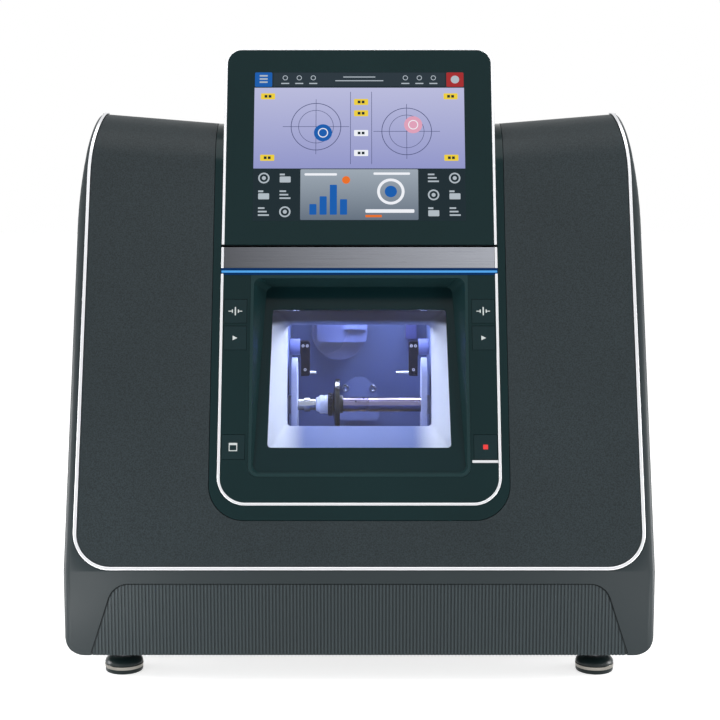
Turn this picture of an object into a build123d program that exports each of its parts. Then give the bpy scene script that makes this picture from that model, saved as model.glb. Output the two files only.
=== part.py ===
"""Automatic lens edger: a countertop machine that grinds, grooves and drills spectacle lenses.

The operator faces -Y. The origin lies on the table, under the middle of the machine.
Lengths are millimetres and angles degrees.
"""
from build123d import *
from math import cos, hypot, pi, radians, sin, sqrt, tan
import os

os.makedirs("parts", exist_ok=True)

# Whole machine
body_half_width = 276.5
body_depth = 505.0
foot_gap = 28.0
skirt_height = 80.5
lean_angle = 22.0
face_length = 414.0
middle_face_length = 403.0
shoulder_radius = 62.0
side_taper_height = 420.0
side_taper_radius = 440.0
side_taper_sweep = 16.0
bottom_corner_radius = 19.0
wall = 3.0
seam_back = 222.5
rear_overhang = 20.5
hood_bottom = 48.0
hood_drop = 21.0
rear_corner_radius = 40.0
seam_gap = 0.4
fit_gap = 0.2
overrun = 2.0
far = 600.0

# Leaning front
side_strip_width = 8.4
trim_half_width = body_half_width - side_strip_width
trim_width = 3.1
trim_taper_height = 470.0
trim_taper_radius = 200.0
trim_taper_sweep = 20.0
trim_bottom = 1.3
trim_corner_radius = 36.0
trim_rise = 0.8
trim_depth = 3.0
surround_half_width = 142.0
surround_bottom = 48.1
surround_corner_radius = 34.0
line_half_width = 134.4
line_width = 2.6
line_bottom = 62.2
line_corner_radius = 27.0
line_rise = 0.6
line_depth = 3.0

# Display
display_bottom = 319.3
display_top = 526.6
display_half_width = 134.3
display_thickness = 15.0
display_corner_radius = 17.0
display_pivot_up = 4.2
display_pivot_depth = 6.5
bay_clearance = 2.5

# Door and chamber
door_bottom = 89.4
door_top = 288.4
door_recess = 2.0
door_slide_angle = 29.0
door_opening_half_width = 105.5
opening_corner_radius = 9.5
door_thickness = 5.0
door_height = 214.0
window_low_half_width = 87.5
window_top_half_width = 84.8
window_bottom = 29.7
window_top = 171.8
chamber_half_width = 72.0
chamber_set_back = 105.0
chamber_floor = 78.0
chamber_ceiling = 352.0
lip_height = 228.0

# Lens axis, wheel axis and the travel between them
chuck_inset = 172.5
wheel_set_back = 18.0
chuck_y = chuck_inset - body_depth / 2
chuck_z = 237.5
chuck_drop = 15.0
chuck_rise = 20.0
wheel_y = chuck_y + wheel_set_back
chamber_back = chuck_y + chamber_set_back
drain_inset = 25.0
drain_y = chamber_back - drain_inset
wheel_z = 147.0
wheel_radius = 50.0

# Derived frame of the leaning front
front_y = -body_depth / 2
rear_y = body_depth / 2 - rear_overhang
lean_z = foot_gap + skirt_height
lean = radians(lean_angle)
seam_y = front_y + seam_back
front_plane = Plane(
    origin=(0, front_y, lean_z), x_dir=(1, 0, 0), z_dir=(0, -cos(lean), sin(lean))
)


def lean_point(along, out):
    """Side-view point that lies `along` up the leaning face and `out` in front of it."""
    return (
        front_y + along * sin(lean) - out * cos(lean),
        lean_z + along * cos(lean) + out * sin(lean),
    )


def crest_height(roll):
    """Height of the flat crest where the face rolls over `roll` up its length."""
    return lean_point(roll, -shoulder_radius)[1] + shoulder_radius


def roll_length(x):
    """Face length at a distance from the middle: the shoulders rise towards the sides."""
    share = (x - surround_half_width) / (trim_half_width - surround_half_width)
    return middle_face_length + share * (face_length - middle_face_length)


def shoulder_band(start, roll, outer, inner, end_y):
    """Side-view strip along the leaning face, round the shoulder and along the crest."""
    centre_y, centre_z = lean_point(roll, -shoulder_radius)

    def on_shoulder(out, angle):
        radius = shoulder_radius + out
        return (centre_y - radius * cos(angle), centre_z + radius * sin(angle))

    quarter = pi / 2
    middle = (lean + quarter) / 2
    with BuildSketch() as band:
        with BuildLine():
            Line(lean_point(start, outer), lean_point(roll, outer))
            ThreePointArc(
                lean_point(roll, outer), on_shoulder(outer, middle), on_shoulder(outer, quarter)
            )
            Polyline(
                on_shoulder(outer, quarter),
                (end_y, centre_z + shoulder_radius + outer),
                (end_y, centre_z + shoulder_radius + inner),
                on_shoulder(inner, quarter),
            )
            ThreePointArc(
                on_shoulder(inner, quarter), on_shoulder(inner, middle), lean_point(roll, inner)
            )
            Polyline(lean_point(roll, inner), lean_point(start, inner), lean_point(start, outer))
        make_face()
    return band.sketch


def u_outline(half_width, bottom, top, radius):
    """Upright panel outline with two rounded bottom corners."""
    with BuildSketch() as outline:
        with Locations((0, bottom)):
            Rectangle(2 * half_width, top - bottom, align=(Align.CENTER, Align.MIN))
        fillet(outline.vertices().group_by(Axis.Y)[0], radius)
    return outline.sketch


def trapezoid(low_half_width, top_half_width, bottom, top, radius):
    """Symmetric four-sided outline with all its corners rounded."""
    with BuildSketch() as outline:
        Polygon(
            (-low_half_width, bottom),
            (low_half_width, bottom),
            (top_half_width, top),
            (-top_half_width, top),
            align=None,
        )
        fillet(outline.vertices(), radius)
    return outline.sketch


def tapered_outline(half_width, taper_height, taper_radius, sweep, inset, corner_radius):
    """Front view that runs straight up and then curves in at both sides, drawn in by `inset`."""
    radius = taper_radius - inset
    centre_x = half_width - taper_radius
    top = taper_height + taper_radius
    bottom = foot_gap + inset
    swing = radians(sweep)
    tip = (centre_x + radius * cos(swing), taper_height + radius * sin(swing))
    half = (centre_x + radius * cos(swing / 2), taper_height + radius * sin(swing / 2))
    edge = half_width - inset
    with BuildSketch() as outline:
        with BuildLine():
            Polyline((0, bottom), (edge, bottom), (edge, taper_height))
            ThreePointArc((edge, taper_height), half, tip)
            Polyline(tip, (tip[0], top), (0, top), (0, bottom))
        make_face()
        mirror(about=Plane.YZ)
        if corner_radius > 0:
            fillet(outline.vertices().group_by(Axis.Y)[0], corner_radius)
    return outline.sketch


def envelope(inset):
    """Front view of the machine's outer skin, drawn in by `inset`."""
    return tapered_outline(
        body_half_width,
        side_taper_height,
        side_taper_radius,
        side_taper_sweep,
        inset,
        bottom_corner_radius - inset,
    )


def square_envelope():
    """Front view of the outer skin before its two lower corners are rounded."""
    return tapered_outline(
        body_half_width, side_taper_height, side_taper_radius, side_taper_sweep, 0, 0
    )


def trim_skin(inset):
    """Front view of the bright trim's outer side, drawn in by `inset`."""
    return tapered_outline(
        trim_half_width,
        trim_taper_height,
        trim_taper_radius,
        trim_taper_sweep,
        inset,
        bottom_corner_radius - inset,
    )


def save(builder, name):
    """Label a finished piece and write it as one file."""
    builder.part.label = name
    export_step(builder.part, f"parts/{name}.step")
    print(name, len(builder.part.solids()), round(builder.part.volume / 1000, 2), "cm3")


# Front surround: the skirt across the front and the two rounded side strips
surround_depth = 40.0
surround_wall = 4.0
strip_edge_radius = 7.0
strip_blank_width = 40.0
panel_low_side_inset = 25.5
panel_top_side_inset = 47.5
panel_top_inset = 12.5
panel_corner_radius = 20.0
panel_recess = 2.2
panel_low_half_width = body_half_width - panel_low_side_inset
panel_top_half_width = body_half_width - panel_top_side_inset
skirt_return = surround_depth * cos(lean)
strip_inner = trim_half_width + seam_gap


def surround_side(outer, inner, back, top_y):
    """Side view of the strip that runs up the skirt, the leaning face and the shoulder."""
    with BuildSketch() as view:
        add(shoulder_band(0, face_length, outer, inner, top_y))
        with Locations((front_y - outer, foot_gap)):
            Rectangle(back + outer, skirt_height, align=(Align.MIN, Align.MIN))
    return view.sketch


def skirt_panel_outline(clearance):
    """Front view of the ribbed panel, grown by a clearance."""
    low = panel_low_half_width + clearance
    high = panel_top_half_width + clearance
    with BuildSketch() as outline:
        Polygon(
            (-low, foot_gap),
            (low, foot_gap),
            (high, lean_z - panel_top_inset + clearance),
            (-high, lean_z - panel_top_inset + clearance),
            align=None,
        )
        fillet(outline.vertices().group_by(Axis.Y)[-1], panel_corner_radius)
    return outline.sketch


def is_front_edge(edge):
    """True for the edges along the front path of the side strip."""
    middle = edge @ 0.5
    centre_y, centre_z = lean_point(face_length, -shoulder_radius)
    out = (front_y - middle.Y) * cos(lean) + (middle.Z - lean_z) * sin(lean)
    on_skirt = abs(middle.Y - front_y) < fit_gap
    on_roll = abs(hypot(middle.Y - centre_y, middle.Z - centre_z) - shoulder_radius) < fit_gap
    on_crest = abs(middle.Z - centre_z - shoulder_radius) < fit_gap
    return on_skirt or abs(out) < fit_gap or on_roll or on_crest


with BuildPart() as strip_pocket:
    with BuildSketch(Plane.YZ.offset(strip_inner - overrun)):
        add(
            shoulder_band(0, face_length, -surround_wall, -2 * surround_depth, seam_y + overrun)
        )
        with Locations((front_y + surround_wall, foot_gap - overrun)):
            Rectangle(
                2 * surround_depth,
                skirt_height + overrun - surround_wall,
                align=(Align.MIN, Align.MIN),
            )
    extrude(amount=body_half_width - strip_inner + overrun)
    with BuildSketch(Plane.XZ.offset(-rear_y)):
        add(envelope(surround_wall))
    extrude(amount=body_depth + overrun, mode=Mode.INTERSECT)

with BuildPart() as side_strip:
    with BuildSketch(Plane.YZ.offset(strip_inner - strip_blank_width)):
        add(surround_side(0, -surround_depth, skirt_return, seam_y))
    extrude(amount=strip_blank_width + body_half_width - strip_inner)
    with BuildSketch(Plane.XZ.offset(-rear_y)):
        add(square_envelope())
    extrude(amount=body_depth + overrun, mode=Mode.INTERSECT)
    outer_edges = side_strip.edges().filter_by(
        lambda edge: (edge @ 0.5).X > trim_half_width - strip_edge_radius
    )
    fillet(outer_edges.filter_by(is_front_edge), strip_edge_radius)
    with BuildSketch(Plane.XZ.offset(-rear_y)):
        add(envelope(0))
    extrude(amount=body_depth + overrun, mode=Mode.INTERSECT)
    add(strip_pocket.part, mode=Mode.SUBTRACT)
    with BuildSketch(Plane.XZ.offset(-rear_y)):
        add(trim_skin(-seam_gap))
    extrude(amount=body_depth + overrun, mode=Mode.SUBTRACT)

with BuildPart() as front_surround:
    with BuildSketch(Plane.XZ.offset(-front_y - surround_wall)):
        with Locations((0, foot_gap)):
            Rectangle(2 * strip_inner, skirt_height, align=(Align.CENTER, Align.MIN))
    extrude(amount=surround_wall)
    with BuildSketch(Plane.XZ.offset(-rear_y)):
        add(envelope(0))
    extrude(amount=body_depth + overrun, mode=Mode.INTERSECT)
    with BuildSketch(front_plane.offset(-surround_wall)):
        with Locations((0, 0)):
            Rectangle(
                2 * strip_inner,
                trim_bottom + trim_corner_radius,
                align=(Align.CENTER, Align.MIN),
            )
        add(
            u_outline(strip_inner, trim_bottom - seam_gap, face_length, trim_corner_radius),
            mode=Mode.SUBTRACT,
        )
    extrude(amount=surround_wall)
    add(side_strip.part)
    add(mirror(side_strip.part, about=Plane.YZ, mode=Mode.PRIVATE))
    with BuildSketch(Plane.XZ.offset(-front_y - panel_recess)):
        add(skirt_panel_outline(fit_gap))
    extrude(amount=panel_recess + overrun, mode=Mode.SUBTRACT)
save(front_surround, "front_surround")

# Ribbed panel: a strip of upright ribs let into the skirt
rib_pitch = 3.2
rib_share = 0.5
rib_height = 1.2
rib_count = int(2 * panel_low_half_width / rib_pitch)
panel_back = front_y + panel_recess
rib_root = front_y + rib_height
first_rib = -rib_count * rib_pitch / 2
rib_section = [(first_rib, panel_back)]
for rib in range(rib_count):
    rib_start = first_rib + rib * rib_pitch
    rib_end = rib_start + rib_share * rib_pitch
    rib_section += [
        (rib_start, rib_root),
        (rib_start, front_y),
        (rib_end, front_y),
        (rib_end, rib_root),
    ]
rib_section += [(-first_rib, rib_root), (-first_rib, panel_back)]

with BuildPart() as ribbed_panel:
    with BuildSketch(Plane.XY.offset(foot_gap)):
        with BuildLine():
            Polyline(*rib_section, close=True)
        make_face()
    extrude(amount=skirt_height)
    with BuildSketch(Plane.XZ.offset(-panel_back)):
        add(skirt_panel_outline(0))
    extrude(amount=panel_recess, mode=Mode.INTERSECT)
save(ribbed_panel, "ribbed_panel")

# Front cover: the grained moulding round the console, with its two shoulders
cover_inset = trim_width + seam_gap
cover_half_width = trim_half_width - cover_inset
cover_bottom = trim_bottom + trim_width + seam_gap
cover_corner_radius = trim_corner_radius - trim_width
cover_return = 14.0
wing_start = 300.0
wing_inner = surround_half_width + seam_gap

with BuildPart() as outer_return:
    with BuildSketch(Plane.YZ.offset(cover_half_width - strip_blank_width)):
        outer_roll = roll_length(cover_half_width - wall)
        add(shoulder_band(wing_start, outer_roll, -wall / 2, -cover_return, seam_y))
    extrude(amount=strip_blank_width)
    with BuildSketch(Plane.XZ.offset(-rear_y)):
        add(trim_skin(cover_inset))
        add(trim_skin(cover_inset + wall), mode=Mode.SUBTRACT)
    extrude(amount=body_depth + overrun, mode=Mode.INTERSECT)

with BuildPart() as cover_wing:
    with BuildSketch(Plane.YZ.offset(wing_inner)):
        add(shoulder_band(wing_start, roll_length(wing_inner), 0, -wall, seam_y))
    with BuildSketch(Plane.YZ.offset(cover_half_width)):
        add(shoulder_band(wing_start, roll_length(cover_half_width), 0, -wall, seam_y))
    loft(ruled=True)
    with BuildSketch(Plane.XZ.offset(-rear_y)):
        add(trim_skin(cover_inset))
    extrude(amount=body_depth + overrun, mode=Mode.INTERSECT)
    with BuildSketch(Plane.YZ.offset(wing_inner)):
        add(shoulder_band(wing_start, roll_length(wing_inner), -wall / 2, -cover_return, seam_y))
    extrude(amount=wall)
    add(outer_return.part)

with BuildPart() as front_cover:
    with BuildSketch(front_plane.offset(-wall)):
        add(u_outline(cover_half_width, cover_bottom, wing_start, cover_corner_radius))
        add(
            u_outline(
                wing_inner, surround_bottom - seam_gap, wing_start, surround_corner_radius
            ),
            mode=Mode.SUBTRACT,
        )
    extrude(amount=wall)
    add(cover_wing.part)
    add(mirror(cover_wing.part, about=Plane.YZ, mode=Mode.PRIVATE))
save(front_cover, "front_cover")

# Front trim: bright strip round the cover that curls over the shoulders
with BuildPart() as trim_curl:
    with BuildSketch(Plane.YZ.offset(trim_half_width - strip_blank_width)):
        add(shoulder_band(wing_start, face_length, trim_rise, -trim_depth, seam_y))
    extrude(amount=strip_blank_width)
    with BuildSketch(Plane.XZ.offset(-rear_y)):
        add(trim_skin(0))
        add(trim_skin(trim_width), mode=Mode.SUBTRACT)
    extrude(amount=body_depth + overrun, mode=Mode.INTERSECT)

with BuildPart() as front_trim:
    with BuildSketch(front_plane.offset(-trim_depth)):
        add(u_outline(trim_half_width, trim_bottom, wing_start, trim_corner_radius))
        add(
            u_outline(
                trim_half_width - trim_width,
                trim_bottom + trim_width,
                wing_start,
                trim_corner_radius - trim_width,
            ),
            mode=Mode.SUBTRACT,
        )
    extrude(amount=trim_depth + trim_rise)
    add(trim_curl.part)
    add(mirror(trim_curl.part, about=Plane.YZ, mode=Mode.PRIVATE))
save(front_trim, "front_trim")

# Door plane: flush with the console at the bottom, sinking in towards the top
slide = radians(door_slide_angle)
door_y, door_z = lean_point(door_bottom, -door_recess)
door_plane = Plane(
    origin=(0, door_y, door_z), x_dir=(1, 0, 0), z_dir=(0, -cos(slide), sin(slide))
)


def door_point(up, out):
    """Side-view point `up` along the door's slide and `out` in front of its face."""
    return (
        door_y + up * sin(slide) - out * cos(slide),
        door_z + up * cos(slide) + out * sin(slide),
    )


# Console surround: glossy frame round the console, with the shelf under the keys and the display bay
bay_depth = display_thickness + bay_clearance
bay_half_width = display_half_width + seam_gap
name_bar_top = 316.4
name_bar_bottom = 295.4
light_bar_bottom = 289.7
light_bar_depth = 5.0
name_bar_depth = 6.0
key_shelf_depth = 10.0
key_shelf_half_gap = 108.2
shelf_bottom = surround_bottom + surround_corner_radius
shelf_corner_radius = 4.0
roll_middle = roll_length(surround_half_width)
pivot_along = display_bottom + display_pivot_up
pivot_radius = 2.0

with BuildPart() as console_surround:
    with BuildSketch(front_plane.offset(-key_shelf_depth)):
        add(u_outline(surround_half_width, surround_bottom, wing_start, surround_corner_radius))
        add(
            u_outline(
                line_half_width + fit_gap,
                line_bottom - fit_gap,
                wing_start,
                line_corner_radius,
            ),
            mode=Mode.SUBTRACT,
        )
    extrude(amount=key_shelf_depth)
    with BuildSketch(front_plane.offset(-key_shelf_depth - wall)):
        add(u_outline(surround_half_width, surround_bottom, wing_start, surround_corner_radius))
        add(
            u_outline(key_shelf_half_gap, shelf_bottom, wing_start, shelf_corner_radius),
            mode=Mode.SUBTRACT,
        )
    extrude(amount=wall)
    with BuildSketch(Plane.YZ.offset(-surround_half_width)):
        add(shoulder_band(name_bar_bottom, roll_middle, -bay_depth, -bay_depth - wall, seam_y))
    extrude(amount=2 * surround_half_width)
    for side in (-surround_half_width, bay_half_width):
        with BuildSketch(Plane.YZ.offset(side)):
            add(shoulder_band(light_bar_bottom, roll_middle, 0, -bay_depth - wall, seam_y))
        extrude(amount=surround_half_width - bay_half_width)
    with BuildSketch(front_plane.offset(-bay_depth - wall)):
        with Locations((0, name_bar_bottom)):
            Rectangle(2 * surround_half_width, wall, align=(Align.CENTER, Align.MIN))
    extrude(amount=bay_depth + wall - name_bar_depth - fit_gap)
    with BuildSketch(Plane.YZ.offset(-surround_half_width)):
        with Locations(lean_point(pivot_along, -display_pivot_depth)):
            Circle(pivot_radius)
    extrude(amount=2 * surround_half_width, mode=Mode.SUBTRACT)
save(console_surround, "console_surround")

# Console trim: bright line inside the surround, cut through by the light bar
with BuildPart() as console_trim:
    with BuildSketch(front_plane.offset(-line_depth)):
        add(u_outline(line_half_width, line_bottom, name_bar_top, line_corner_radius))
        add(
            u_outline(
                line_half_width - line_width,
                line_bottom + line_width,
                name_bar_top,
                line_corner_radius - line_width,
            ),
            mode=Mode.SUBTRACT,
        )
        with Locations((0, light_bar_bottom - fit_gap)):
            Rectangle(
                2 * line_half_width,
                name_bar_bottom - light_bar_bottom,
                align=(Align.CENTER, Align.MIN),
                mode=Mode.SUBTRACT,
            )
    extrude(amount=line_depth + line_rise)
save(console_trim, "console_trim")

# Keys: one value each for the three rows
key_width = 22.0
key_height = 23.6
key_middle = 119.7
clamp_key_drop = 37.85
key_row_gap = 3.15
low_key_rise = 56.05
clamp_row = light_bar_bottom - clamp_key_drop
key_rows = {
    "clamp": clamp_row,
    "start": clamp_row - key_height - key_row_gap,
    "low": line_bottom + low_key_rise,
}
key_gap = 0.3
key_travel = 1.2
key_flange = 0.7
key_flange_depth = 1.2
key_stem_radius = 3.0
key_face_drop = 0.1
panel_thickness = 3.5
panel_inset = 0.2
panel_half_width = line_half_width - line_width - panel_inset
panel_bottom = line_bottom + line_width + panel_inset
panel_corner = line_corner_radius - line_width - panel_inset

with BuildPart() as console_panel:
    with BuildSketch(front_plane.offset(-panel_thickness)):
        add(u_outline(panel_half_width, panel_bottom, light_bar_bottom - panel_inset, panel_corner))
        add(
            u_outline(
                door_opening_half_width, door_bottom, door_top + wall, opening_corner_radius
            ),
            mode=Mode.SUBTRACT,
        )
        for row in key_rows.values():
            with Locations((-key_middle, row), (key_middle, row)):
                Rectangle(
                    key_width + 2 * key_gap, key_height + 2 * key_gap, mode=Mode.SUBTRACT
                )
    extrude(amount=panel_thickness)
save(console_panel, "console_panel")

key_names = {
    "left_clamp_key": (-key_middle, key_rows["clamp"]),
    "left_start_key": (-key_middle, key_rows["start"]),
    "door_key": (-key_middle, key_rows["low"]),
    "right_clamp_key": (key_middle, key_rows["clamp"]),
    "right_start_key": (key_middle, key_rows["start"]),
    "stop_key": (key_middle, key_rows["low"]),
}
key_switch_gap = 0.3
key_switch_height = 0.5
key_stem_bottom = -key_shelf_depth + key_switch_height + key_switch_gap + key_travel
for key_name, key_place in key_names.items():
    with BuildPart() as key:
        with BuildSketch(front_plane.offset(-panel_thickness - key_gap)):
            with Locations(key_place):
                Rectangle(key_width, key_height)
        extrude(amount=panel_thickness + key_gap - key_face_drop)
        cap_face = key.faces().sort_by(Axis(origin=(0, 0, 0), direction=front_plane.z_dir))[-1]
        fillet(cap_face.edges(), key_gap)
        with BuildSketch(front_plane.offset(-panel_thickness - key_gap - key_flange_depth)):
            with Locations(key_place):
                Rectangle(key_width + 2 * key_flange, key_height + 2 * key_flange)
        extrude(amount=key_flange_depth)
        with BuildSketch(front_plane.offset(key_stem_bottom)):
            with Locations(key_place):
                Circle(key_stem_radius)
        extrude(until=Until.NEXT)
    save(key, key_name)

# Door bezel: its four reveals slope from the console's face down to the sunken door
bezel_lip = 3.2
reveal_low_half_width = 101.0
reveal_top_half_width = 91.0
reveal_up = 1.8
reveal_corner_radius = 7.0
bezel_gap = 0.4
bezel_block_depth = 50.0
reveal_top = (door_top - door_bottom - bezel_lip) / cos(slide - lean)

with BuildPart() as door_bezel:
    with BuildSketch(front_plane):
        add(
            u_outline(
                door_opening_half_width - fit_gap,
                door_bottom + fit_gap,
                light_bar_bottom - panel_inset,
                opening_corner_radius,
            )
        )
    extrude(amount=-bezel_block_depth)
    with BuildSketch(door_plane.offset(bezel_gap)):
        Rectangle(2 * surround_half_width, far)
    extrude(amount=-far, mode=Mode.SUBTRACT)
    with BuildSketch(front_plane):
        add(
            trapezoid(
                door_opening_half_width - bezel_lip,
                door_opening_half_width - bezel_lip,
                door_bottom + bezel_lip,
                door_top - bezel_lip,
                reveal_corner_radius,
            )
        )
    with BuildSketch(door_plane.offset(bezel_gap)):
        add(
            trapezoid(
                reveal_low_half_width,
                reveal_top_half_width,
                bezel_lip + reveal_up,
                reveal_top - reveal_up,
                reveal_corner_radius,
            )
        )
    loft(ruled=True, mode=Mode.SUBTRACT)
save(door_bezel, "door_bezel")

# Name bar and light bar between the door and the display
with BuildPart() as name_bar:
    with BuildSketch(front_plane.offset(-name_bar_depth)):
        with Locations((0, name_bar_bottom)):
            Rectangle(
                2 * panel_half_width,
                name_bar_top - name_bar_bottom,
                align=(Align.CENTER, Align.MIN),
            )
    extrude(amount=name_bar_depth)
save(name_bar, "name_bar")

with BuildPart() as light_bar:
    with BuildSketch(front_plane.offset(-light_bar_depth)):
        with Locations((0, light_bar_bottom)):
            Rectangle(
                2 * line_half_width,
                name_bar_bottom - light_bar_bottom - fit_gap,
                align=(Align.CENTER, Align.MIN),
            )
    extrude(amount=light_bar_depth + line_rise)
save(light_bar, "light_bar")

# Display: back shell, bright rim, front glass and panel
rim_width = 2.7
rim_depth = 3.0
glass_drop = 0.4
shell_wall = 2.5
lcd_half_width = 104.5
lcd_bottom = 343.8
lcd_top = 500.1
lcd_depth = 6.0
shell_solid_top = display_bottom + 16.0
bulge_half_width = 80.0
bulge_bottom = 440.0
bulge_top = 512.0
bulge_depth = 12.0
bulge_radius = 8.0
pivot_clearance = 0.05
pivot_reach = 8.0


def display_outline(inset, bottom, radius):
    """Display outline: square at the bottom and rounded at its two top corners."""
    width = 2 * (display_half_width - inset)
    with BuildSketch() as outline:
        with Locations((0, bottom)):
            Rectangle(width, display_top - inset - bottom, align=(Align.CENTER, Align.MIN))
        fillet(outline.vertices().group_by(Axis.Y)[-1], radius)
    return outline.sketch


with BuildPart() as display_housing:
    with BuildSketch(front_plane.offset(-display_thickness)):
        add(display_outline(0, display_bottom, display_corner_radius))
    extrude(amount=display_thickness - rim_depth)
    back_face = display_housing.faces().sort_by(
        Axis(origin=(0, 0, 0), direction=front_plane.z_dir)
    )[0]
    fillet(back_face.edges(), shell_wall)
    with BuildSketch(front_plane.offset(-display_thickness - bulge_depth)):
        with Locations((0, (bulge_bottom + bulge_top) / 2)):
            RectangleRounded(2 * bulge_half_width, bulge_top - bulge_bottom, bulge_radius)
    extrude(amount=bulge_depth)
    with BuildSketch(front_plane.offset(-display_thickness + shell_wall)):
        add(
            display_outline(
                shell_wall, shell_solid_top, display_corner_radius - shell_wall
            )
        )
    extrude(amount=display_thickness, mode=Mode.SUBTRACT)
    with BuildSketch(Plane.YZ.offset(-display_half_width)):
        with Locations(lean_point(pivot_along, -display_pivot_depth)):
            Circle(pivot_radius + pivot_clearance)
    extrude(amount=pivot_reach, mode=Mode.SUBTRACT)
    with BuildSketch(Plane.YZ.offset(display_half_width - pivot_reach)):
        with Locations(lean_point(pivot_along, -display_pivot_depth)):
            Circle(pivot_radius + pivot_clearance)
    extrude(amount=pivot_reach, mode=Mode.SUBTRACT)
save(display_housing, "display_housing")

with BuildPart() as display_rim:
    with BuildSketch(front_plane.offset(-rim_depth)):
        add(display_outline(0, display_bottom, display_corner_radius))
        add(
            display_outline(rim_width, display_bottom, display_corner_radius - rim_width),
            mode=Mode.SUBTRACT,
        )
    extrude(amount=rim_depth)
save(display_rim, "display_rim")

with BuildPart() as display_glass:
    with BuildSketch(front_plane.offset(-rim_depth)):
        add(display_outline(rim_width, display_bottom, display_corner_radius - rim_width))
    extrude(amount=rim_depth - glass_drop)
save(display_glass, "display_glass")

with BuildPart() as lcd_panel:
    with BuildSketch(front_plane.offset(-rim_depth - lcd_depth)):
        with Locations((0, lcd_bottom)):
            Rectangle(2 * lcd_half_width, lcd_top - lcd_bottom, align=(Align.CENTER, Align.MIN))
    extrude(amount=lcd_depth)
save(lcd_panel, "lcd_panel")

# Hinge pins of the display, held in the sides of the bay
with BuildPart() as display_hinge_pins:
    with BuildSketch(Plane.YZ.offset(display_half_width - pivot_reach + seam_gap)):
        with Locations(lean_point(pivot_along, -display_pivot_depth)):
            Circle(pivot_radius)
    right_pin = extrude(amount=surround_half_width - display_half_width + pivot_reach - seam_gap)
    add(mirror(right_pin, about=Plane.YZ, mode=Mode.PRIVATE))
save(display_hinge_pins, "display_hinge_pins")

# Rear hood: top and back in one moulding, with a channel behind the display
hood_half_width = body_half_width - wall - seam_gap
hood_start = seam_y + seam_gap
fan_side_inset = 126.5
fan_x = fan_side_inset - body_half_width
fan_z = 400.0
fan_bore = 38.0
vent_pitch = 8.0
vent_height = 4.0
inlet_side_inset = 86.5
inlet_x = body_half_width - inlet_side_inset
inlet_z = 110.0
inlet_cut_width = 44.0
inlet_cut_height = 56.0
drain_x = 110.0
supply_x = 70.0
fitting_z = 90.0
drain_radius = 10.0
supply_radius = 6.0
screw_inset = 22.0
screw_x = body_half_width - screw_inset
screw_heights = (64.0, 184.0, 304.0, 424.0)
screw_radius = 1.5
screw_clearance = 0.2
channel_bottom = 445.0


def hood_band(x, drop, thickness):
    """Side-view strip along the top and down the back of the hood."""
    top = crest_height(roll_length(x)) - drop
    with BuildSketch() as band:
        with BuildLine():
            FilletPolyline(
                (hood_start, top),
                (rear_y, top - hood_drop),
                (rear_y, hood_bottom),
                radius=rear_corner_radius,
            )
            Line((rear_y, hood_bottom), (rear_y - thickness, hood_bottom))
            FilletPolyline(
                (rear_y - thickness, hood_bottom),
                (rear_y - thickness, top - hood_drop - thickness),
                (hood_start, top - thickness),
                radius=rear_corner_radius - thickness,
            )
            Line((hood_start, top - thickness), (hood_start, top))
        make_face()
    return band.sketch


with BuildPart() as hood:
    with BuildSketch(Plane.YZ.offset(surround_half_width)):
        add(hood_band(surround_half_width, 0, wall))
    with BuildSketch(Plane.YZ.offset(hood_half_width)):
        add(hood_band(hood_half_width, 0, wall))
    hood_wing = loft(ruled=True)
    add(mirror(hood_wing, about=Plane.YZ, mode=Mode.PRIVATE))
    with BuildSketch(Plane.YZ.offset(-surround_half_width)):
        add(hood_band(surround_half_width, bay_depth, wall))
    extrude(amount=2 * surround_half_width)
    for side in (-surround_half_width, surround_half_width - wall):
        with BuildSketch(Plane.YZ.offset(side)):
            add(hood_band(surround_half_width, 0, bay_depth + wall))
            with Locations((rear_y, hood_bottom)):
                Rectangle(
                    body_depth,
                    channel_bottom - hood_bottom,
                    align=(Align.CENTER, Align.MIN),
                    mode=Mode.SUBTRACT,
                )
        extrude(amount=wall)
    with BuildSketch(Plane.XZ.offset(-rear_y)):
        add(envelope(wall + seam_gap))
    extrude(amount=body_depth, mode=Mode.INTERSECT)
    with BuildSketch(Plane.XZ.offset(-rear_y)):
        with Locations((inlet_x, inlet_z)):
            Rectangle(inlet_cut_width, inlet_cut_height)
        with Locations((drain_x, fitting_z)):
            Circle(drain_radius)
        with Locations((supply_x, fitting_z)):
            Circle(supply_radius)
        for height in screw_heights:
            with Locations((-screw_x, height), (screw_x, height)):
                Circle(screw_radius + screw_clearance)
        slots = int(fan_bore / vent_pitch)
        for slot in range(-slots, slots + 1):
            chord = sqrt(fan_bore**2 - (slot * vent_pitch) ** 2)
            with Locations((fan_x, fan_z + slot * vent_pitch)):
                SlotOverall(2 * chord, vent_height)
            with Locations((-fan_x, fan_z + slot * vent_pitch)):
                SlotOverall(2 * fan_bore, vent_height)
    extrude(amount=wall + overrun, mode=Mode.SUBTRACT)
save(hood, "hood")

# Side covers: one shell each side, tapering in at the top, with a field of louvres
side_lip_width = 24.0
side_lip = body_half_width - side_lip_width
louvre_count = 7
louvre_pitch = 14.0
louvre_length = 120.0
louvre_height = 5.0
louvre_inset = 102.0
louvre_y = rear_y - louvre_inset
louvre_z = 120.0


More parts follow.
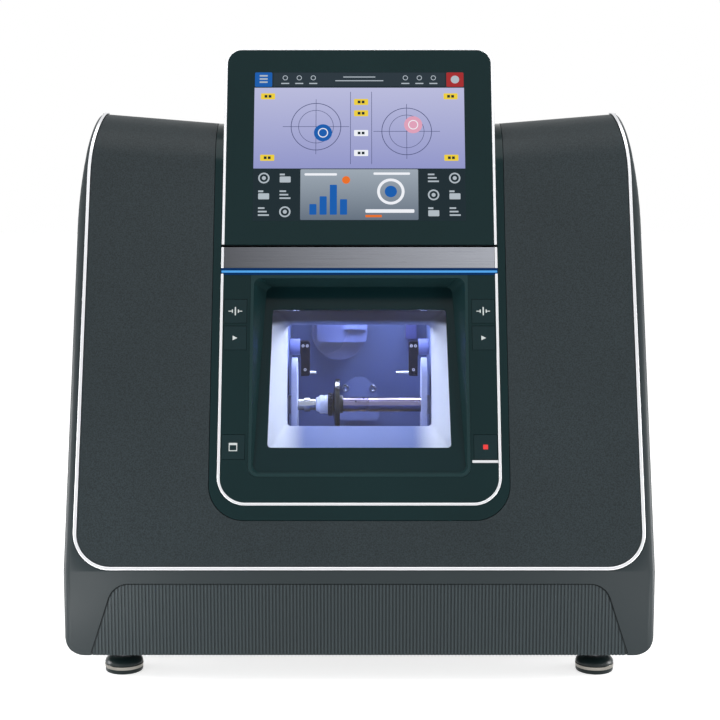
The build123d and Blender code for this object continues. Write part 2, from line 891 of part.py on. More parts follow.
def side_cover_view():
    """Side view of a side cover, from the strip back to the rear edge."""
    crest = crest_height(face_length)
    with BuildSketch() as view:
        with BuildLine():
            Polyline(
                (rear_y, foot_gap), (front_y, foot_gap), (front_y, lean_z), lean_point(face_length, 0)
            )
            centre_y, centre_z = lean_point(face_length, -shoulder_radius)
            middle = (lean + pi / 2) / 2
            ThreePointArc(
                lean_point(face_length, 0),
                (centre_y - shoulder_radius * cos(middle), centre_z + shoulder_radius * sin(middle)),
                (centre_y, crest),
            )
            Line((centre_y, crest), (seam_y, crest))
            FilletPolyline(
                (seam_y, crest),
                (rear_y, crest - hood_drop),
                (rear_y, foot_gap),
                radius=rear_corner_radius,
            )
        make_face()
        add(
            surround_side(
                overrun, -surround_depth - seam_gap, skirt_return + seam_gap, seam_y + seam_gap
            ),
            mode=Mode.SUBTRACT,
        )
    return view.sketch


with BuildPart() as right_side_cover:
    with BuildSketch(Plane.XZ.offset(-rear_y)):
        add(envelope(0))
        add(envelope(wall), mode=Mode.SUBTRACT)
        with Locations((-body_half_width, 0)):
            Rectangle(
                body_half_width + side_lip, far, align=(Align.MIN, Align.MIN), mode=Mode.SUBTRACT
            )
    extrude(amount=body_depth)
    with BuildSketch(Plane.YZ.offset(surround_half_width)):
        add(side_cover_view())
    extrude(amount=body_half_width - surround_half_width, mode=Mode.INTERSECT)
    with BuildSketch(Plane.YZ.offset(body_half_width - wall - overrun)):
        with Locations((louvre_y, louvre_z)):
            with GridLocations(0, louvre_pitch, 1, louvre_count):
                SlotOverall(louvre_length, louvre_height)
    extrude(amount=wall + 2 * overrun, mode=Mode.SUBTRACT)
save(right_side_cover, "right_side_cover")

with BuildPart() as left_side_cover:
    mirror(right_side_cover.part, about=Plane.YZ)
save(left_side_cover, "left_side_cover")

# Base pan: folded sheet with the four threaded bosses for the feet
pan_thickness = 2.5
pan_flange = 22.0
pan_half_width = side_lip - fit_gap
pan_front = front_y + surround_wall + fit_gap
pan_back = rear_y - wall - seam_gap
pan_depth = pan_back - pan_front
foot_side_inset = 50.0
foot_front_inset = 44.5
foot_x = body_half_width - foot_side_inset
foot_y = body_depth / 2 - foot_front_inset
foot_stem_radius = 6.0
foot_boss_radius = 12.0
foot_boss_drop = 7.5
foot_boss_rise = 14.0
thread_clearance = 0.05
pan_drain_radius = 16.0

with BuildPart() as base_pan:
    with BuildSketch(Plane.XY.offset(foot_gap)):
        with Locations((0, pan_front)):
            Rectangle(2 * pan_half_width, pan_depth, align=(Align.CENTER, Align.MIN))
    extrude(amount=pan_flange)
    with BuildSketch(Plane.XY.offset(foot_gap + pan_thickness)):
        with Locations((0, pan_front + pan_thickness)):
            Rectangle(
                2 * (pan_half_width - pan_thickness),
                pan_depth - 2 * pan_thickness,
                align=(Align.CENTER, Align.MIN),
            )
    extrude(amount=pan_flange, mode=Mode.SUBTRACT)
    with BuildSketch(Plane.XY.offset(foot_gap - foot_boss_drop)):
        with GridLocations(2 * foot_x, 2 * foot_y, 2, 2):
            Circle(foot_boss_radius)
    extrude(amount=foot_boss_drop + foot_boss_rise)
    with BuildSketch(Plane.XY.offset(foot_gap - foot_boss_drop)):
        with GridLocations(2 * foot_x, 2 * foot_y, 2, 2):
            Circle(foot_stem_radius + thread_clearance)
        with Locations((0, drain_y)):
            Circle(pan_drain_radius)
    extrude(amount=foot_boss_drop + foot_boss_rise, mode=Mode.SUBTRACT)
save(base_pan, "base_pan")

# Levelling feet: domed disc, hexagon and threaded stem turned as one piece
foot_radius = 18.5
foot_rim_height = 10.0
foot_dome_height = 15.5
foot_neck_radius = 9.5
foot_hex_radius = 10.5
foot_hex_height = 4.6
foot_edge_radius = 1.5
foot_dome_radius = 10.75
foot_stem_top = foot_gap + foot_boss_rise + 8.0
foot_places = {
    "front_left_foot": (-foot_x, -foot_y),
    "front_right_foot": (foot_x, -foot_y),
    "rear_left_foot": (-foot_x, foot_y),
    "rear_right_foot": (foot_x, foot_y),
}
for foot_name, (place_x, place_y) in foot_places.items():
    foot_axis = Plane(origin=(place_x, place_y, 0), x_dir=(1, 0, 0), z_dir=(0, -1, 0))
    with BuildPart() as foot:
        with BuildSketch(foot_axis):
            with BuildLine():
                Polyline((0, foot_dome_height), (0, 0), (foot_radius - foot_edge_radius, 0))
                Polyline(
                    (foot_radius - foot_edge_radius, 0),
                    (foot_radius, foot_edge_radius),
                    (foot_radius, foot_rim_height),
                )
                RadiusArc(
                    (foot_radius, foot_rim_height),
                    (foot_neck_radius, foot_dome_height),
                    -foot_dome_radius,
                )
                Line((foot_neck_radius, foot_dome_height), (0, foot_dome_height))
            make_face()
        revolve(axis=Axis(origin=(place_x, place_y, 0), direction=(0, 0, 1)))
        with BuildSketch(Plane.XY.offset(foot_dome_height)):
            with Locations((place_x, place_y)):
                RegularPolygon(foot_hex_radius, 6)
        extrude(amount=foot_hex_height)
        with BuildSketch(Plane.XY.offset(foot_dome_height + foot_hex_height)):
            with Locations((place_x, place_y)):
                Circle(foot_stem_radius)
        extrude(amount=foot_stem_top - foot_dome_height - foot_hex_height)
    save(foot, foot_name)

# Machine casting: deck with spindle bearings, rod sockets, motor saddle and tub pads
deck_bottom = foot_gap + pan_thickness
deck_thickness = 12.0
deck_half_width = 196.0
deck_front_inset = 102.5
deck_back_inset = 32.0
deck_front = front_y + deck_front_inset
deck_back = rear_y - deck_back_inset
deck_top = deck_bottom + deck_thickness
spindle_radius = 10.0
bearing_gap = 0.05
bearing_inner = 84.0
bearing_width = 18.0
bearing_radius = 26.0
rod_x = 110.0
rod_set_back = 150.0
rod_y = chuck_y + rod_set_back
rod_radius = 8.0
rod_socket_radius = 14.0
rod_socket_top = 100.0
motor_set_back = 192.0
motor_y = wheel_y + motor_set_back
motor_z = 120.0
motor_radius = 45.0
motor_half_length = 60.0
saddle_half_length = 45.0
saddle_half_width = 36.0
saddle_rise = 10.0
pad_half_width = 60.0
pad_depth = 18.0
pad_front_reach = 40.0
pad_rear_inset = 12.0
pad_front = chuck_y - pad_front_reach
pad_rear = chamber_back - pad_rear_inset
tub_bottom = chamber_floor - wall

with BuildPart() as machine_casting:
    with BuildSketch(Plane.XY.offset(deck_bottom)):
        with Locations((0, deck_front)):
            Rectangle(2 * deck_half_width, deck_back - deck_front, align=(Align.CENTER, Align.MIN))
        with Locations((0, drain_y)):
            Circle(pan_drain_radius, mode=Mode.SUBTRACT)
    extrude(amount=deck_thickness)
    with BuildSketch(Plane.YZ.offset(bearing_inner)):
        with Locations((wheel_y, deck_top)):
            Rectangle(2 * bearing_radius, wheel_z - deck_top, align=(Align.CENTER, Align.MIN))
        with Locations((wheel_y, wheel_z)):
            Circle(bearing_radius)
            Circle(spindle_radius + bearing_gap, mode=Mode.SUBTRACT)
    bearing = extrude(amount=bearing_width)
    add(mirror(bearing, about=Plane.YZ, mode=Mode.PRIVATE))
    with BuildSketch(Plane.XY.offset(deck_top)):
        with Locations((-rod_x, rod_y), (rod_x, rod_y)):
            Circle(rod_socket_radius)
            Circle(rod_radius, mode=Mode.SUBTRACT)
    extrude(amount=rod_socket_top - deck_top)
    with BuildSketch(Plane.XY.offset(deck_top)):
        with Locations((0, motor_y)):
            Rectangle(2 * saddle_half_length, 2 * saddle_half_width)
    extrude(amount=motor_z - motor_radius + saddle_rise - deck_top)
    with BuildSketch(Plane.XY.offset(deck_top)):
        for pad_y in (pad_front, pad_rear):
            with Locations((0, pad_y)):
                Rectangle(2 * pad_half_width, pad_depth, align=(Align.CENTER, Align.MIN))
    extrude(amount=tub_bottom - deck_top)
    with BuildSketch(Plane.YZ.offset(-saddle_half_length)):
        with Locations((motor_y, motor_z)):
            Circle(motor_radius)
    extrude(amount=2 * saddle_half_length, mode=Mode.SUBTRACT)
save(machine_casting, "machine_casting")

# Guide rods of the carriage, tied together by a bridge at the top
bridge_bottom = 385.0
bridge_thickness = 10.0
bridge_depth = 30.0
bridge_half_width = 126.0
with BuildPart() as guide_rods:
    with BuildSketch(Plane.XY.offset(deck_top)):
        with Locations((-rod_x, rod_y), (rod_x, rod_y)):
            Circle(rod_radius)
    extrude(amount=bridge_bottom - deck_top)
    with BuildSketch(Plane.XY.offset(bridge_bottom)):
        with Locations((0, rod_y)):
            Rectangle(2 * bridge_half_width, bridge_depth)
    extrude(amount=bridge_thickness)
save(guide_rods, "guide_rods")

# Wheel motor: a can with end bells and a bore for its turning shaft
motor_shaft_radius = 8.0
motor_bore_depth = 20.0
motor_bell_radius = 30.0
motor_bell_length = 6.0
with BuildPart() as wheel_motor:
    with BuildSketch(Plane.YZ.offset(-motor_half_length)):
        with Locations((motor_y, motor_z)):
            Circle(motor_radius)
    extrude(amount=2 * motor_half_length)
    with BuildSketch(Plane.YZ.offset(motor_half_length)):
        with Locations((motor_y, motor_z)):
            Circle(motor_bell_radius)
    extrude(amount=motor_bell_length)
    with BuildSketch(Plane.YZ.offset(motor_half_length + motor_bell_length)):
        with Locations((motor_y, motor_z)):
            Circle(motor_shaft_radius + bearing_gap)
    extrude(amount=-motor_bore_depth, mode=Mode.SUBTRACT)
save(wheel_motor, "wheel_motor")

# Pulleys, with the belt running free on both
pulley_x = 151.0
pulley_width = 14.0
pulley_flange = 1.0
pulley_flange_rise = 2.5
motor_pulley_radius = 20.0
spindle_pulley_radius = 26.0
belt_thickness = 2.5
belt_gap = 0.3


def pulley(y, z, radius):
    """Flanged belt pulley about an axis along X."""
    with BuildPart() as wheel:
        with BuildSketch(Plane.YZ.offset(pulley_x)):
            with Locations((y, z)):
                Circle(radius)
        extrude(amount=pulley_width)
        for flange_x in (pulley_x, pulley_x + pulley_width - pulley_flange):
            with BuildSketch(Plane.YZ.offset(flange_x)):
                with Locations((y, z)):
                    Circle(radius + pulley_flange_rise)
            extrude(amount=pulley_flange)
    return wheel.part


def rod(start_x, end_x, y, z, radius, bore=0):
    """Round rod or tube along X."""
    with BuildPart() as bar:
        with BuildSketch(Plane.YZ.offset(start_x)):
            with Locations((y, z)):
                Circle(radius)
                if bore:
                    Circle(bore, mode=Mode.SUBTRACT)
        extrude(amount=end_x - start_x)
    return bar.part


with BuildPart() as motor_pulley:
    shaft_start = motor_half_length + motor_bell_length - motor_bore_depth + seam_gap
    add(rod(shaft_start, pulley_x + pulley_width, motor_y, motor_z, motor_shaft_radius))
    add(pulley(motor_y, motor_z, motor_pulley_radius))
save(motor_pulley, "motor_pulley")

spindle_start = -bearing_inner - bearing_width - overrun
spindle_collar = 3.0
spindle_collar_radius = 14.0
with BuildPart() as wheel_spindle:
    add(rod(spindle_start, pulley_x + pulley_width, wheel_y, wheel_z, spindle_radius))
    add(rod(spindle_start - spindle_collar, spindle_start, wheel_y, wheel_z, spindle_collar_radius))
    add(pulley(wheel_y, wheel_z, spindle_pulley_radius))
save(wheel_spindle, "wheel_spindle")


def belt_loop(grow):
    """Side view of the belt's path round both pulleys, `grow` outside their rims."""
    with BuildSketch() as loop:
        with BuildLine() as rims:
            CenterArc((motor_y, motor_z), motor_pulley_radius + grow, 0, 360)
            CenterArc((wheel_y, wheel_z), spindle_pulley_radius + grow, 0, 360)
        make_hull(rims.edges())
    return loop.sketch


with BuildPart() as drive_belt:
    with BuildSketch(Plane.YZ.offset(pulley_x + pulley_flange + belt_gap)):
        add(belt_loop(belt_gap + belt_thickness))
        add(belt_loop(belt_gap), mode=Mode.SUBTRACT)
    extrude(amount=pulley_width - 2 * pulley_flange - 2 * belt_gap)
save(drive_belt, "drive_belt")

# Grinding wheels: roughing, bevelling, grooving and polishing, with spacers between
wheel_widths = {"roughing": 24.0, "bevel": 20.0, "fine": 18.0, "polish": 18.0}
wheel_gap = 1.0
wheel_start = -46.0
bevel_depth = 2.0
bevel_half_width = 2.0
spacer_radius = 30.0
wheel_edge = 0.8
with BuildPart() as grinding_wheels:
    wheel_x = wheel_start
    for wheel_name, width in wheel_widths.items():
        with BuildSketch(Plane.XY.offset(wheel_z)):
            with BuildLine():
                middle_x = wheel_x + width / 2
                edge_y = wheel_y + wheel_radius
                groove = bevel_depth if wheel_name in ("bevel", "polish") else wheel_edge
                Polyline(
                    (wheel_x, wheel_y + spindle_radius),
                    (wheel_x, edge_y - wheel_edge),
                    (wheel_x + wheel_edge, edge_y),
                    (middle_x - bevel_half_width, edge_y),
                    (middle_x, edge_y - groove),
                    (middle_x + bevel_half_width, edge_y),
                    (wheel_x + width - wheel_edge, edge_y),
                    (wheel_x + width, edge_y - wheel_edge),
                    (wheel_x + width, wheel_y + spindle_radius),
                    close=True,
                )
            make_face()
        revolve(axis=Axis(origin=(0, wheel_y, wheel_z), direction=(1, 0, 0)))
        with BuildSketch(Plane.YZ.offset(wheel_x + width)):
            with Locations((wheel_y, wheel_z)):
                Circle(spacer_radius)
                Circle(spindle_radius, mode=Mode.SUBTRACT)
        extrude(amount=wheel_gap)
        wheel_x += width + wheel_gap
save(grinding_wheels, "grinding_wheels")

# Chamber tub: sealed moulding with a flared mouth, the door's rails and a drain
tub_half_width = chamber_half_width + wall
mouth_front = 9.0
mouth_depth = 24.0
mouth_low_half_width = 91.0
mouth_top_half_width = 88.5
mouth_low = 22.0
mouth_top = 176.0
mouth_corner_radius = 5.0
mouth_block_top = 190.0
door_half_width = 104.3
rail_gap = 0.4
rail_width = 2.3
rail_lip = 2.6
rail_back = 5.6
rail_top = 330.0
rail_inner = 98.0
throat_top = 170.0
feeler_set_back = 35.0
feeler_y = chuck_y + feeler_set_back
feeler_z = 292.0
feeler_shaft_radius = 5.0
feeler_boss_radius = 9.0
feeler_boss_length = 8.0
drill_x = -21.0
drill_z = 304.0
drill_shaft_radius = 8.0
drill_boss_radius = 16.0
drill_boss_length = 18.0
shaft_tube_radius = 9.4
slot_clearance = 1.0
spindle_hole_clearance = 2.0
drain_bore = 9.0
drain_wall = 3.0
drain_length = 12.0
shaft_bearing_gap = 0.05
throat_back = mouth_front + mouth_depth
throat_margin = 1.0
throat_half_width = chamber_half_width - throat_margin
throat_low = (lip_height + throat_margin - door_z + throat_back * sin(slide)) / cos(slide)
rail_outer = door_half_width + rail_gap + rail_width


def throat_y(z):
    """Depth, at a height, of the plane where the mouth meets the tub."""
    return door_y + (z - door_z) * tan(slide) + throat_back / cos(slide)


def tub_view(inset):
    """Side view of the tub, drawn in by its wall."""
    lip_y = throat_y(lip_height) + inset / cos(slide)
    roof = chamber_ceiling + wall - inset
    with BuildSketch() as view:
        Polygon(
            (chamber_back + wall - inset, chamber_floor - wall + inset),
            (chamber_back + wall - inset, roof),
            (throat_y(roof) + inset / cos(slide), roof),
            (lip_y, lip_height),
            (lip_y, chamber_floor - wall + inset),
            align=None,
        )
    return view.sketch


with BuildPart() as chamber_tub:
    with BuildSketch(Plane.YZ.offset(-tub_half_width)):
        add(tub_view(0))
    extrude(amount=2 * tub_half_width)
    with BuildSketch(door_plane.offset(-throat_back)):
        with Locations((0, 0)):
            Rectangle(2 * rail_outer, mouth_block_top, align=(Align.CENTER, Align.MIN))
    extrude(amount=mouth_depth)
    for side in (-1, 1):
        with BuildSketch(door_plane.offset(-mouth_front)):
            with Locations((side * (rail_outer + rail_inner) / 2, 0)):
                Rectangle(rail_outer - rail_inner, rail_top, align=(Align.CENTER, Align.MIN))
        extrude(amount=mouth_front - rail_back)
        with BuildSketch(door_plane.offset(-rail_back)):
            with Locations((side * (rail_outer - rail_width / 2), 0)):
                Rectangle(rail_width, rail_top, align=(Align.CENTER, Align.MIN))
        extrude(amount=rail_back - rail_lip)
    add(
        rod(
            -tub_half_width - feeler_boss_length,
            tub_half_width + feeler_boss_length,
            feeler_y,
            feeler_z,
            feeler_boss_radius,
        )
    )
    with BuildSketch(Plane.XZ.offset(-chamber_back)):
        with Locations((drill_x, drill_z)):
            Circle(drill_boss_radius)
    extrude(amount=-wall - drill_boss_length)
    with BuildSketch(Plane.XY.offset(tub_bottom - drain_length)):
        with Locations((0, drain_y)):
            Circle(drain_bore + drain_wall)
    extrude(amount=drain_length)
    with BuildSketch(Plane.YZ.offset(-chamber_half_width)):
        add(tub_view(wall))
    extrude(amount=2 * chamber_half_width, mode=Mode.SUBTRACT)
    with BuildSketch(door_plane.offset(-mouth_front)):
        add(
            trapezoid(
                mouth_low_half_width,
                mouth_top_half_width,
                mouth_low,
                mouth_top,
                mouth_corner_radius,
            )
        )
    with BuildSketch(door_plane.offset(-throat_back)):
        add(
            trapezoid(
                throat_half_width,
                throat_half_width,
                throat_low,
                throat_top,
                mouth_corner_radius,
            )
        )
    loft(ruled=True, mode=Mode.SUBTRACT)
    with BuildSketch(door_plane.offset(-throat_back)):
        add(
            trapezoid(
                throat_half_width,
                throat_half_width,
                throat_low,
                throat_top,
                mouth_corner_radius,
            )
        )
    extrude(amount=-2 * wall, mode=Mode.SUBTRACT)
    with BuildSketch(Plane.XY.offset(tub_bottom - drain_length)):
        with Locations((0, drain_y)):
            Circle(drain_bore)
    extrude(amount=drain_length + wall, mode=Mode.SUBTRACT)
    add(
        rod(
            -2 * tub_half_width,
            2 * tub_half_width,
            feeler_y,
            feeler_z,
            feeler_shaft_radius + shaft_bearing_gap,
        ),
        mode=Mode.SUBTRACT,
    )
    add(
        rod(
            -2 * tub_half_width,
            2 * tub_half_width,
            wheel_y,
            wheel_z,
            spindle_radius + spindle_hole_clearance,
        ),
        mode=Mode.SUBTRACT,
    )
    with BuildSketch(Plane.XZ.offset(-chamber_back)):
        with Locations((drill_x, drill_z)):
            Circle(drill_shaft_radius + shaft_bearing_gap)
    extrude(amount=-wall - drill_boss_length, mode=Mode.SUBTRACT)
    with BuildSketch(Plane.YZ.offset(-2 * tub_half_width)):
        with Locations((chuck_y, chuck_z + (chuck_rise - chuck_drop) / 2)):
            SlotCenterToCenter(
                chuck_rise + chuck_drop, 2 * (shaft_tube_radius + slot_clearance), rotation=90
            )
    extrude(amount=4 * tub_half_width, mode=Mode.SUBTRACT)
save(chamber_tub, "chamber_tub")

# Splash plate: bell-shaped plate held off the back wall by two studs
splash_standoff = 13.0
splash_y = chamber_back - splash_standoff
splash_thickness = 2.0
splash_top = 252.0
splash_bottom = 205.0
splash_top_half = 6.0
splash_shoulder = 240.0
splash_shoulder_half = 18.5
splash_low_half = 22.0
splash_radius = 5.0
stud_x = 14.5
stud_radius = 2.5
stud_head_radius = 4.0
with BuildPart() as splash_plate:
    with BuildSketch(Plane.XZ.offset(-splash_y)) as splash_outline:
        Polygon(
            (-splash_low_half, splash_bottom),
            (splash_low_half, splash_bottom),
            (splash_shoulder_half, splash_shoulder),
            (splash_top_half, splash_top),
            (-splash_top_half, splash_top),
            (-splash_shoulder_half, splash_shoulder),
            align=None,
        )
        fillet(splash_outline.vertices(), splash_radius)
    extrude(amount=splash_thickness)
    with BuildSketch(Plane.XZ.offset(-splash_y)):
        with Locations((-stud_x, splash_shoulder), (stud_x, splash_shoulder)):
            Circle(stud_radius)
    extrude(amount=-(chamber_back - splash_y))
    with BuildSketch(Plane.XZ.offset(-splash_y + splash_thickness)):
        with Locations((-stud_x, splash_shoulder), (stud_x, splash_shoulder)):
            Circle(stud_head_radius)
    extrude(amount=splash_thickness)
save(splash_plate, "splash_plate")

# Water nozzle: manifold block on the back wall with a bent-down jet
nozzle_x = 55.0
nozzle_width = 12.0
nozzle_bottom = 293.0
nozzle_height = 17.0
nozzle_depth = 18.0
nozzle_jet_radius = 3.5
nozzle_jet_bore = 1.5
nozzle_jet_length = 14.0
with BuildPart() as water_nozzle:
    with BuildSketch(Plane.XZ.offset(-chamber_back)):
        with Locations((nozzle_x, nozzle_bottom)):
            Rectangle(nozzle_width, nozzle_height, align=(Align.CENTER, Align.MIN))
    extrude(amount=nozzle_depth)
    with BuildSketch(Plane.XY.offset(nozzle_bottom)):
        with Locations((nozzle_x, chamber_back - nozzle_depth / 2)):
            Circle(nozzle_jet_radius)
    extrude(amount=-nozzle_jet_length)
    with BuildSketch(Plane.XY.offset(nozzle_bottom - nozzle_jet_length)):
        with Locations((nozzle_x, chamber_back - nozzle_depth / 2)):
            Circle(nozzle_jet_bore)
    extrude(amount=nozzle_jet_length, mode=Mode.SUBTRACT)
save(water_nozzle, "water_nozzle")

# Sliding door: black frame with a clear pane
door_low = 0.8
pane_inset = 0.8
window_corner_radius = 3.5
door_corner_radius = 9.0
with BuildPart() as door_frame:
    with BuildSketch(door_plane.offset(-door_thickness)):
        add(u_outline(door_half_width, door_low, door_height, door_corner_radius))
        add(
            trapezoid(
                window_low_half_width,
                window_top_half_width,
                window_bottom,
                window_top,
                window_corner_radius,
            ),
            mode=Mode.SUBTRACT,
        )
    extrude(amount=door_thickness)
save(door_frame, "door_frame")

with BuildPart() as door_pane:
    with BuildSketch(door_plane.offset(-door_thickness + pane_inset)):
        add(
            trapezoid(
                window_low_half_width,
                window_top_half_width,
                window_bottom,
                window_top,
                window_corner_radius,
            )
        )
    extrude(amount=door_thickness - 2 * pane_inset)
save(door_pane, "door_pane")

# Carriage: a beam on the guide rods and two arms that carry the chuck shafts
beam_half_width = 128.0
beam_depth = 38.0
beam_height = 31.0
arm_inner = 88.0
arm_width = 12.0
arm_front = 22.0
arm_boss_radius = 20.0
arm_boss_length = 25.0
left_shaft_radius = 6.0
right_shaft_radius = 7.6
quill_radius = 12.0
chuck_motor_radius = 22.0
chuck_motor_length = 42.0
shaft_clearance = 0.4
actuator_offset = 30.4
actuator_radius = 9.0
actuator_length = 32.0
pusher_radius = 4.0
arm_outer = arm_inner + arm_width
with BuildPart() as carriage_frame:
    with BuildSketch(Plane.XY.offset(chuck_z - beam_height / 2)):
        with Locations((0, rod_y)):
            Rectangle(2 * beam_half_width, beam_depth)
        for arm_x in (-(arm_inner + arm_outer) / 2, (arm_inner + arm_outer) / 2):
            with Locations((arm_x, chuck_y - arm_front)):
                Rectangle(arm_width, rod_y - chuck_y + arm_front, align=(Align.CENTER, Align.MIN))
        with Locations((-rod_x, rod_y), (rod_x, rod_y)):
            Circle(rod_radius + bearing_gap, mode=Mode.SUBTRACT)
    extrude(amount=beam_height)
    add(rod(-arm_outer - chuck_motor_length, -arm_outer, chuck_y, chuck_z, chuck_motor_radius))
    add(rod(arm_outer, arm_outer + arm_boss_length, chuck_y, chuck_z, arm_boss_radius))
    add(
        rod(
            arm_outer,
            arm_outer + actuator_length,
            chuck_y + actuator_offset,
            chuck_z,
            actuator_radius,
        )
    )
    add(
        rod(-2 * arm_outer, 0, chuck_y, chuck_z, left_shaft_radius + shaft_bearing_gap),
        mode=Mode.SUBTRACT,
    )
    add(
        rod(0, 2 * arm_outer, chuck_y, chuck_z, quill_radius + shaft_bearing_gap),
        mode=Mode.SUBTRACT,
    )
    add(
        rod(
            arm_inner,
            2 * arm_outer,
            chuck_y + actuator_offset,
            chuck_z,
            pusher_radius + shaft_bearing_gap,
        ),
        mode=Mode.SUBTRACT,
    )
save(carriage_frame, "carriage_frame")

# Arm shields: plates inside the tub that ride with the arms and keep the slots closed
shield_inner = 62.6
shield_thickness = 5.8
shield_width = 44.0
shield_below = 47.5
shield_above = 48.0
shield_outer = shield_inner + shield_thickness
tube_length = arm_inner - shield_outer
with BuildPart() as arm_shields:
    for side, bore in ((-1, left_shaft_radius), (1, right_shaft_radius)):
        inner_x = shield_inner if side > 0 else -shield_outer
        tube_x = shield_outer if side > 0 else -arm_inner
        with BuildSketch(Plane.YZ.offset(inner_x)):
            with Locations((chuck_y, chuck_z - shield_below)):
                Rectangle(
                    shield_width,
                    shield_below + shield_above - shield_width / 2,
                    align=(Align.CENTER, Align.MIN),
                )
            with Locations((chuck_y, chuck_z + shield_above - shield_width / 2)):
                Circle(shield_width / 2)
            with Locations((chuck_y, chuck_z)):
                Circle(bore + shaft_clearance, mode=Mode.SUBTRACT)
        extrude(amount=shield_thickness)
        add(
            rod(
                tube_x,
                tube_x + tube_length,
                chuck_y,
                chuck_z,
                shaft_tube_radius,
                bore + shaft_clearance,
            )
        )
save(arm_shields, "arm_shields")

# Left chuck: driven shaft with its collar, and the cup that holds the blocked lens
left_shaft_end = -44.1
left_collar_x = -56.0
collar_width = 6.0
collar_radius = 7.6
encoder_radius = 15.0
encoder_width = 5.0
cup_length = 12.2
cup_radius = 9.5
cup_lip_radius = 7.0
cup_flare_length = 4.0
block_length = 4.9
block_radius = 11.7
block_teeth = 18
tooth_radius = 1.2
encoder_gap = 0.4
with BuildPart() as left_chuck_shaft:
    left_shaft_start = -arm_outer - chuck_motor_length - encoder_gap - encoder_width
    add(rod(left_shaft_start, left_shaft_end, chuck_y, chuck_z, left_shaft_radius))
    add(
        rod(left_shaft_start, left_shaft_start + encoder_width, chuck_y, chuck_z, encoder_radius)
    )
    add(rod(left_collar_x, left_collar_x + collar_width, chuck_y, chuck_z, collar_radius))
save(left_chuck_shaft, "left_chuck_shaft")

with BuildPart() as block_cup:
    chuck_axis = Plane(origin=(0, chuck_y, chuck_z), x_dir=(1, 0, 0), z_dir=(0, -1, 0))
    cup_end = left_shaft_end + cup_length
    with BuildSketch(chuck_axis):
        Polygon(
            (left_shaft_end, 0),
            (left_shaft_end, cup_lip_radius),
            (left_shaft_end + cup_flare_length, cup_radius),
            (cup_end, cup_radius),
            (cup_end, block_radius - tooth_radius),
            (cup_end + block_length, block_radius - tooth_radius),
            (cup_end + block_length, 0),
            align=None,
        )
    revolve(axis=Axis(origin=(0, chuck_y, chuck_z), direction=(1, 0, 0)))
    with BuildSketch(Plane.YZ.offset(cup_end)):
        with Locations((chuck_y, chuck_z)):
            with PolarLocations(block_radius - tooth_radius, block_teeth):
                Circle(tooth_radius)
    extrude(amount=block_length)
save(block_cup, "block_cup")

# Lens: meniscus blank held between the cup and the clamp pad
lens_radius = 26.0
lens_front_radius = 120.0
lens_back_radius = 75.0
lens_centre_thickness = 2.4
lens_front_x = cup_end + block_length
lens_back_x = lens_front_x + lens_centre_thickness


def sag(radius, height):
    """Depth of a spherical surface at a distance from its pole."""
    return radius - sqrt(radius**2 - height**2)


with BuildPart() as lens:
    with BuildSketch(chuck_axis):
        with BuildLine():
            front_edge = (lens_front_x + sag(lens_front_radius, lens_radius), lens_radius)
            back_edge = (lens_back_x + sag(lens_back_radius, lens_radius), lens_radius)
            front_half = (lens_front_x + sag(lens_front_radius, lens_radius / 2), lens_radius / 2)
            back_half = (lens_back_x + sag(lens_back_radius, lens_radius / 2), lens_radius / 2)
            Line((lens_back_x, 0), (lens_front_x, 0))
            ThreePointArc((lens_front_x, 0), front_half, front_edge)
            Line(front_edge, back_edge)
            ThreePointArc(back_edge, back_half, (lens_back_x, 0))
        make_face()
    revolve(axis=Axis(origin=(0, chuck_y, chuck_z), direction=(1, 0, 0)))
save(lens, "lens")

# Right chuck: a quill that slides in its arm, the shaft that turns in it and the clamp pad
clamp_travel = 25.0
pad_gap = 0.3
pad_radius = 9.0
pad_end = -16.6
quill_start = arm_inner + seam_gap
quill_end = arm_outer + arm_boss_length + clamp_travel
quill_flange_width = 6.0
shaft_collar_gap = 0.3
shaft_disc_radius = 18.0
clamp_pad_start = lens_back_x + sag(lens_back_radius, pad_radius) + pad_gap
with BuildPart() as clamp_quill:
    add(rod(quill_start, quill_end, chuck_y, chuck_z, quill_radius, right_shaft_radius + bearing_gap))
    with BuildSketch(Plane.YZ.offset(quill_end)):
        with Locations((chuck_y + actuator_offset / 2, chuck_z)):
            SlotCenterToCenter(actuator_offset, 2 * pusher_radius + 2 * quill_radius)
        with Locations((chuck_y, chuck_z)):
            Circle(right_shaft_radius + bearing_gap, mode=Mode.SUBTRACT)
    extrude(amount=quill_flange_width)
    add(
        rod(
            arm_inner + seam_gap,
            quill_end,
            chuck_y + actuator_offset,
            chuck_z,
            pusher_radius,
        )
    )
save(clamp_quill, "clamp_quill")

with BuildPart() as right_chuck_shaft:
    disc_start = quill_end + quill_flange_width + shaft_collar_gap
    add(rod(pad_end, disc_start, chuck_y, chuck_z, right_shaft_radius))
    add(rod(disc_start, disc_start + encoder_width, chuck_y, chuck_z, shaft_disc_radius))
save(right_chuck_shaft, "right_chuck_shaft")

with BuildPart() as clamp_pad:
    add(rod(clamp_pad_start, pad_end, chuck_y, chuck_z, pad_radius))
    fillet(clamp_pad.edges().filter_by(GeomType.CIRCLE), shaft_clearance)
save(clamp_pad, "clamp_pad")

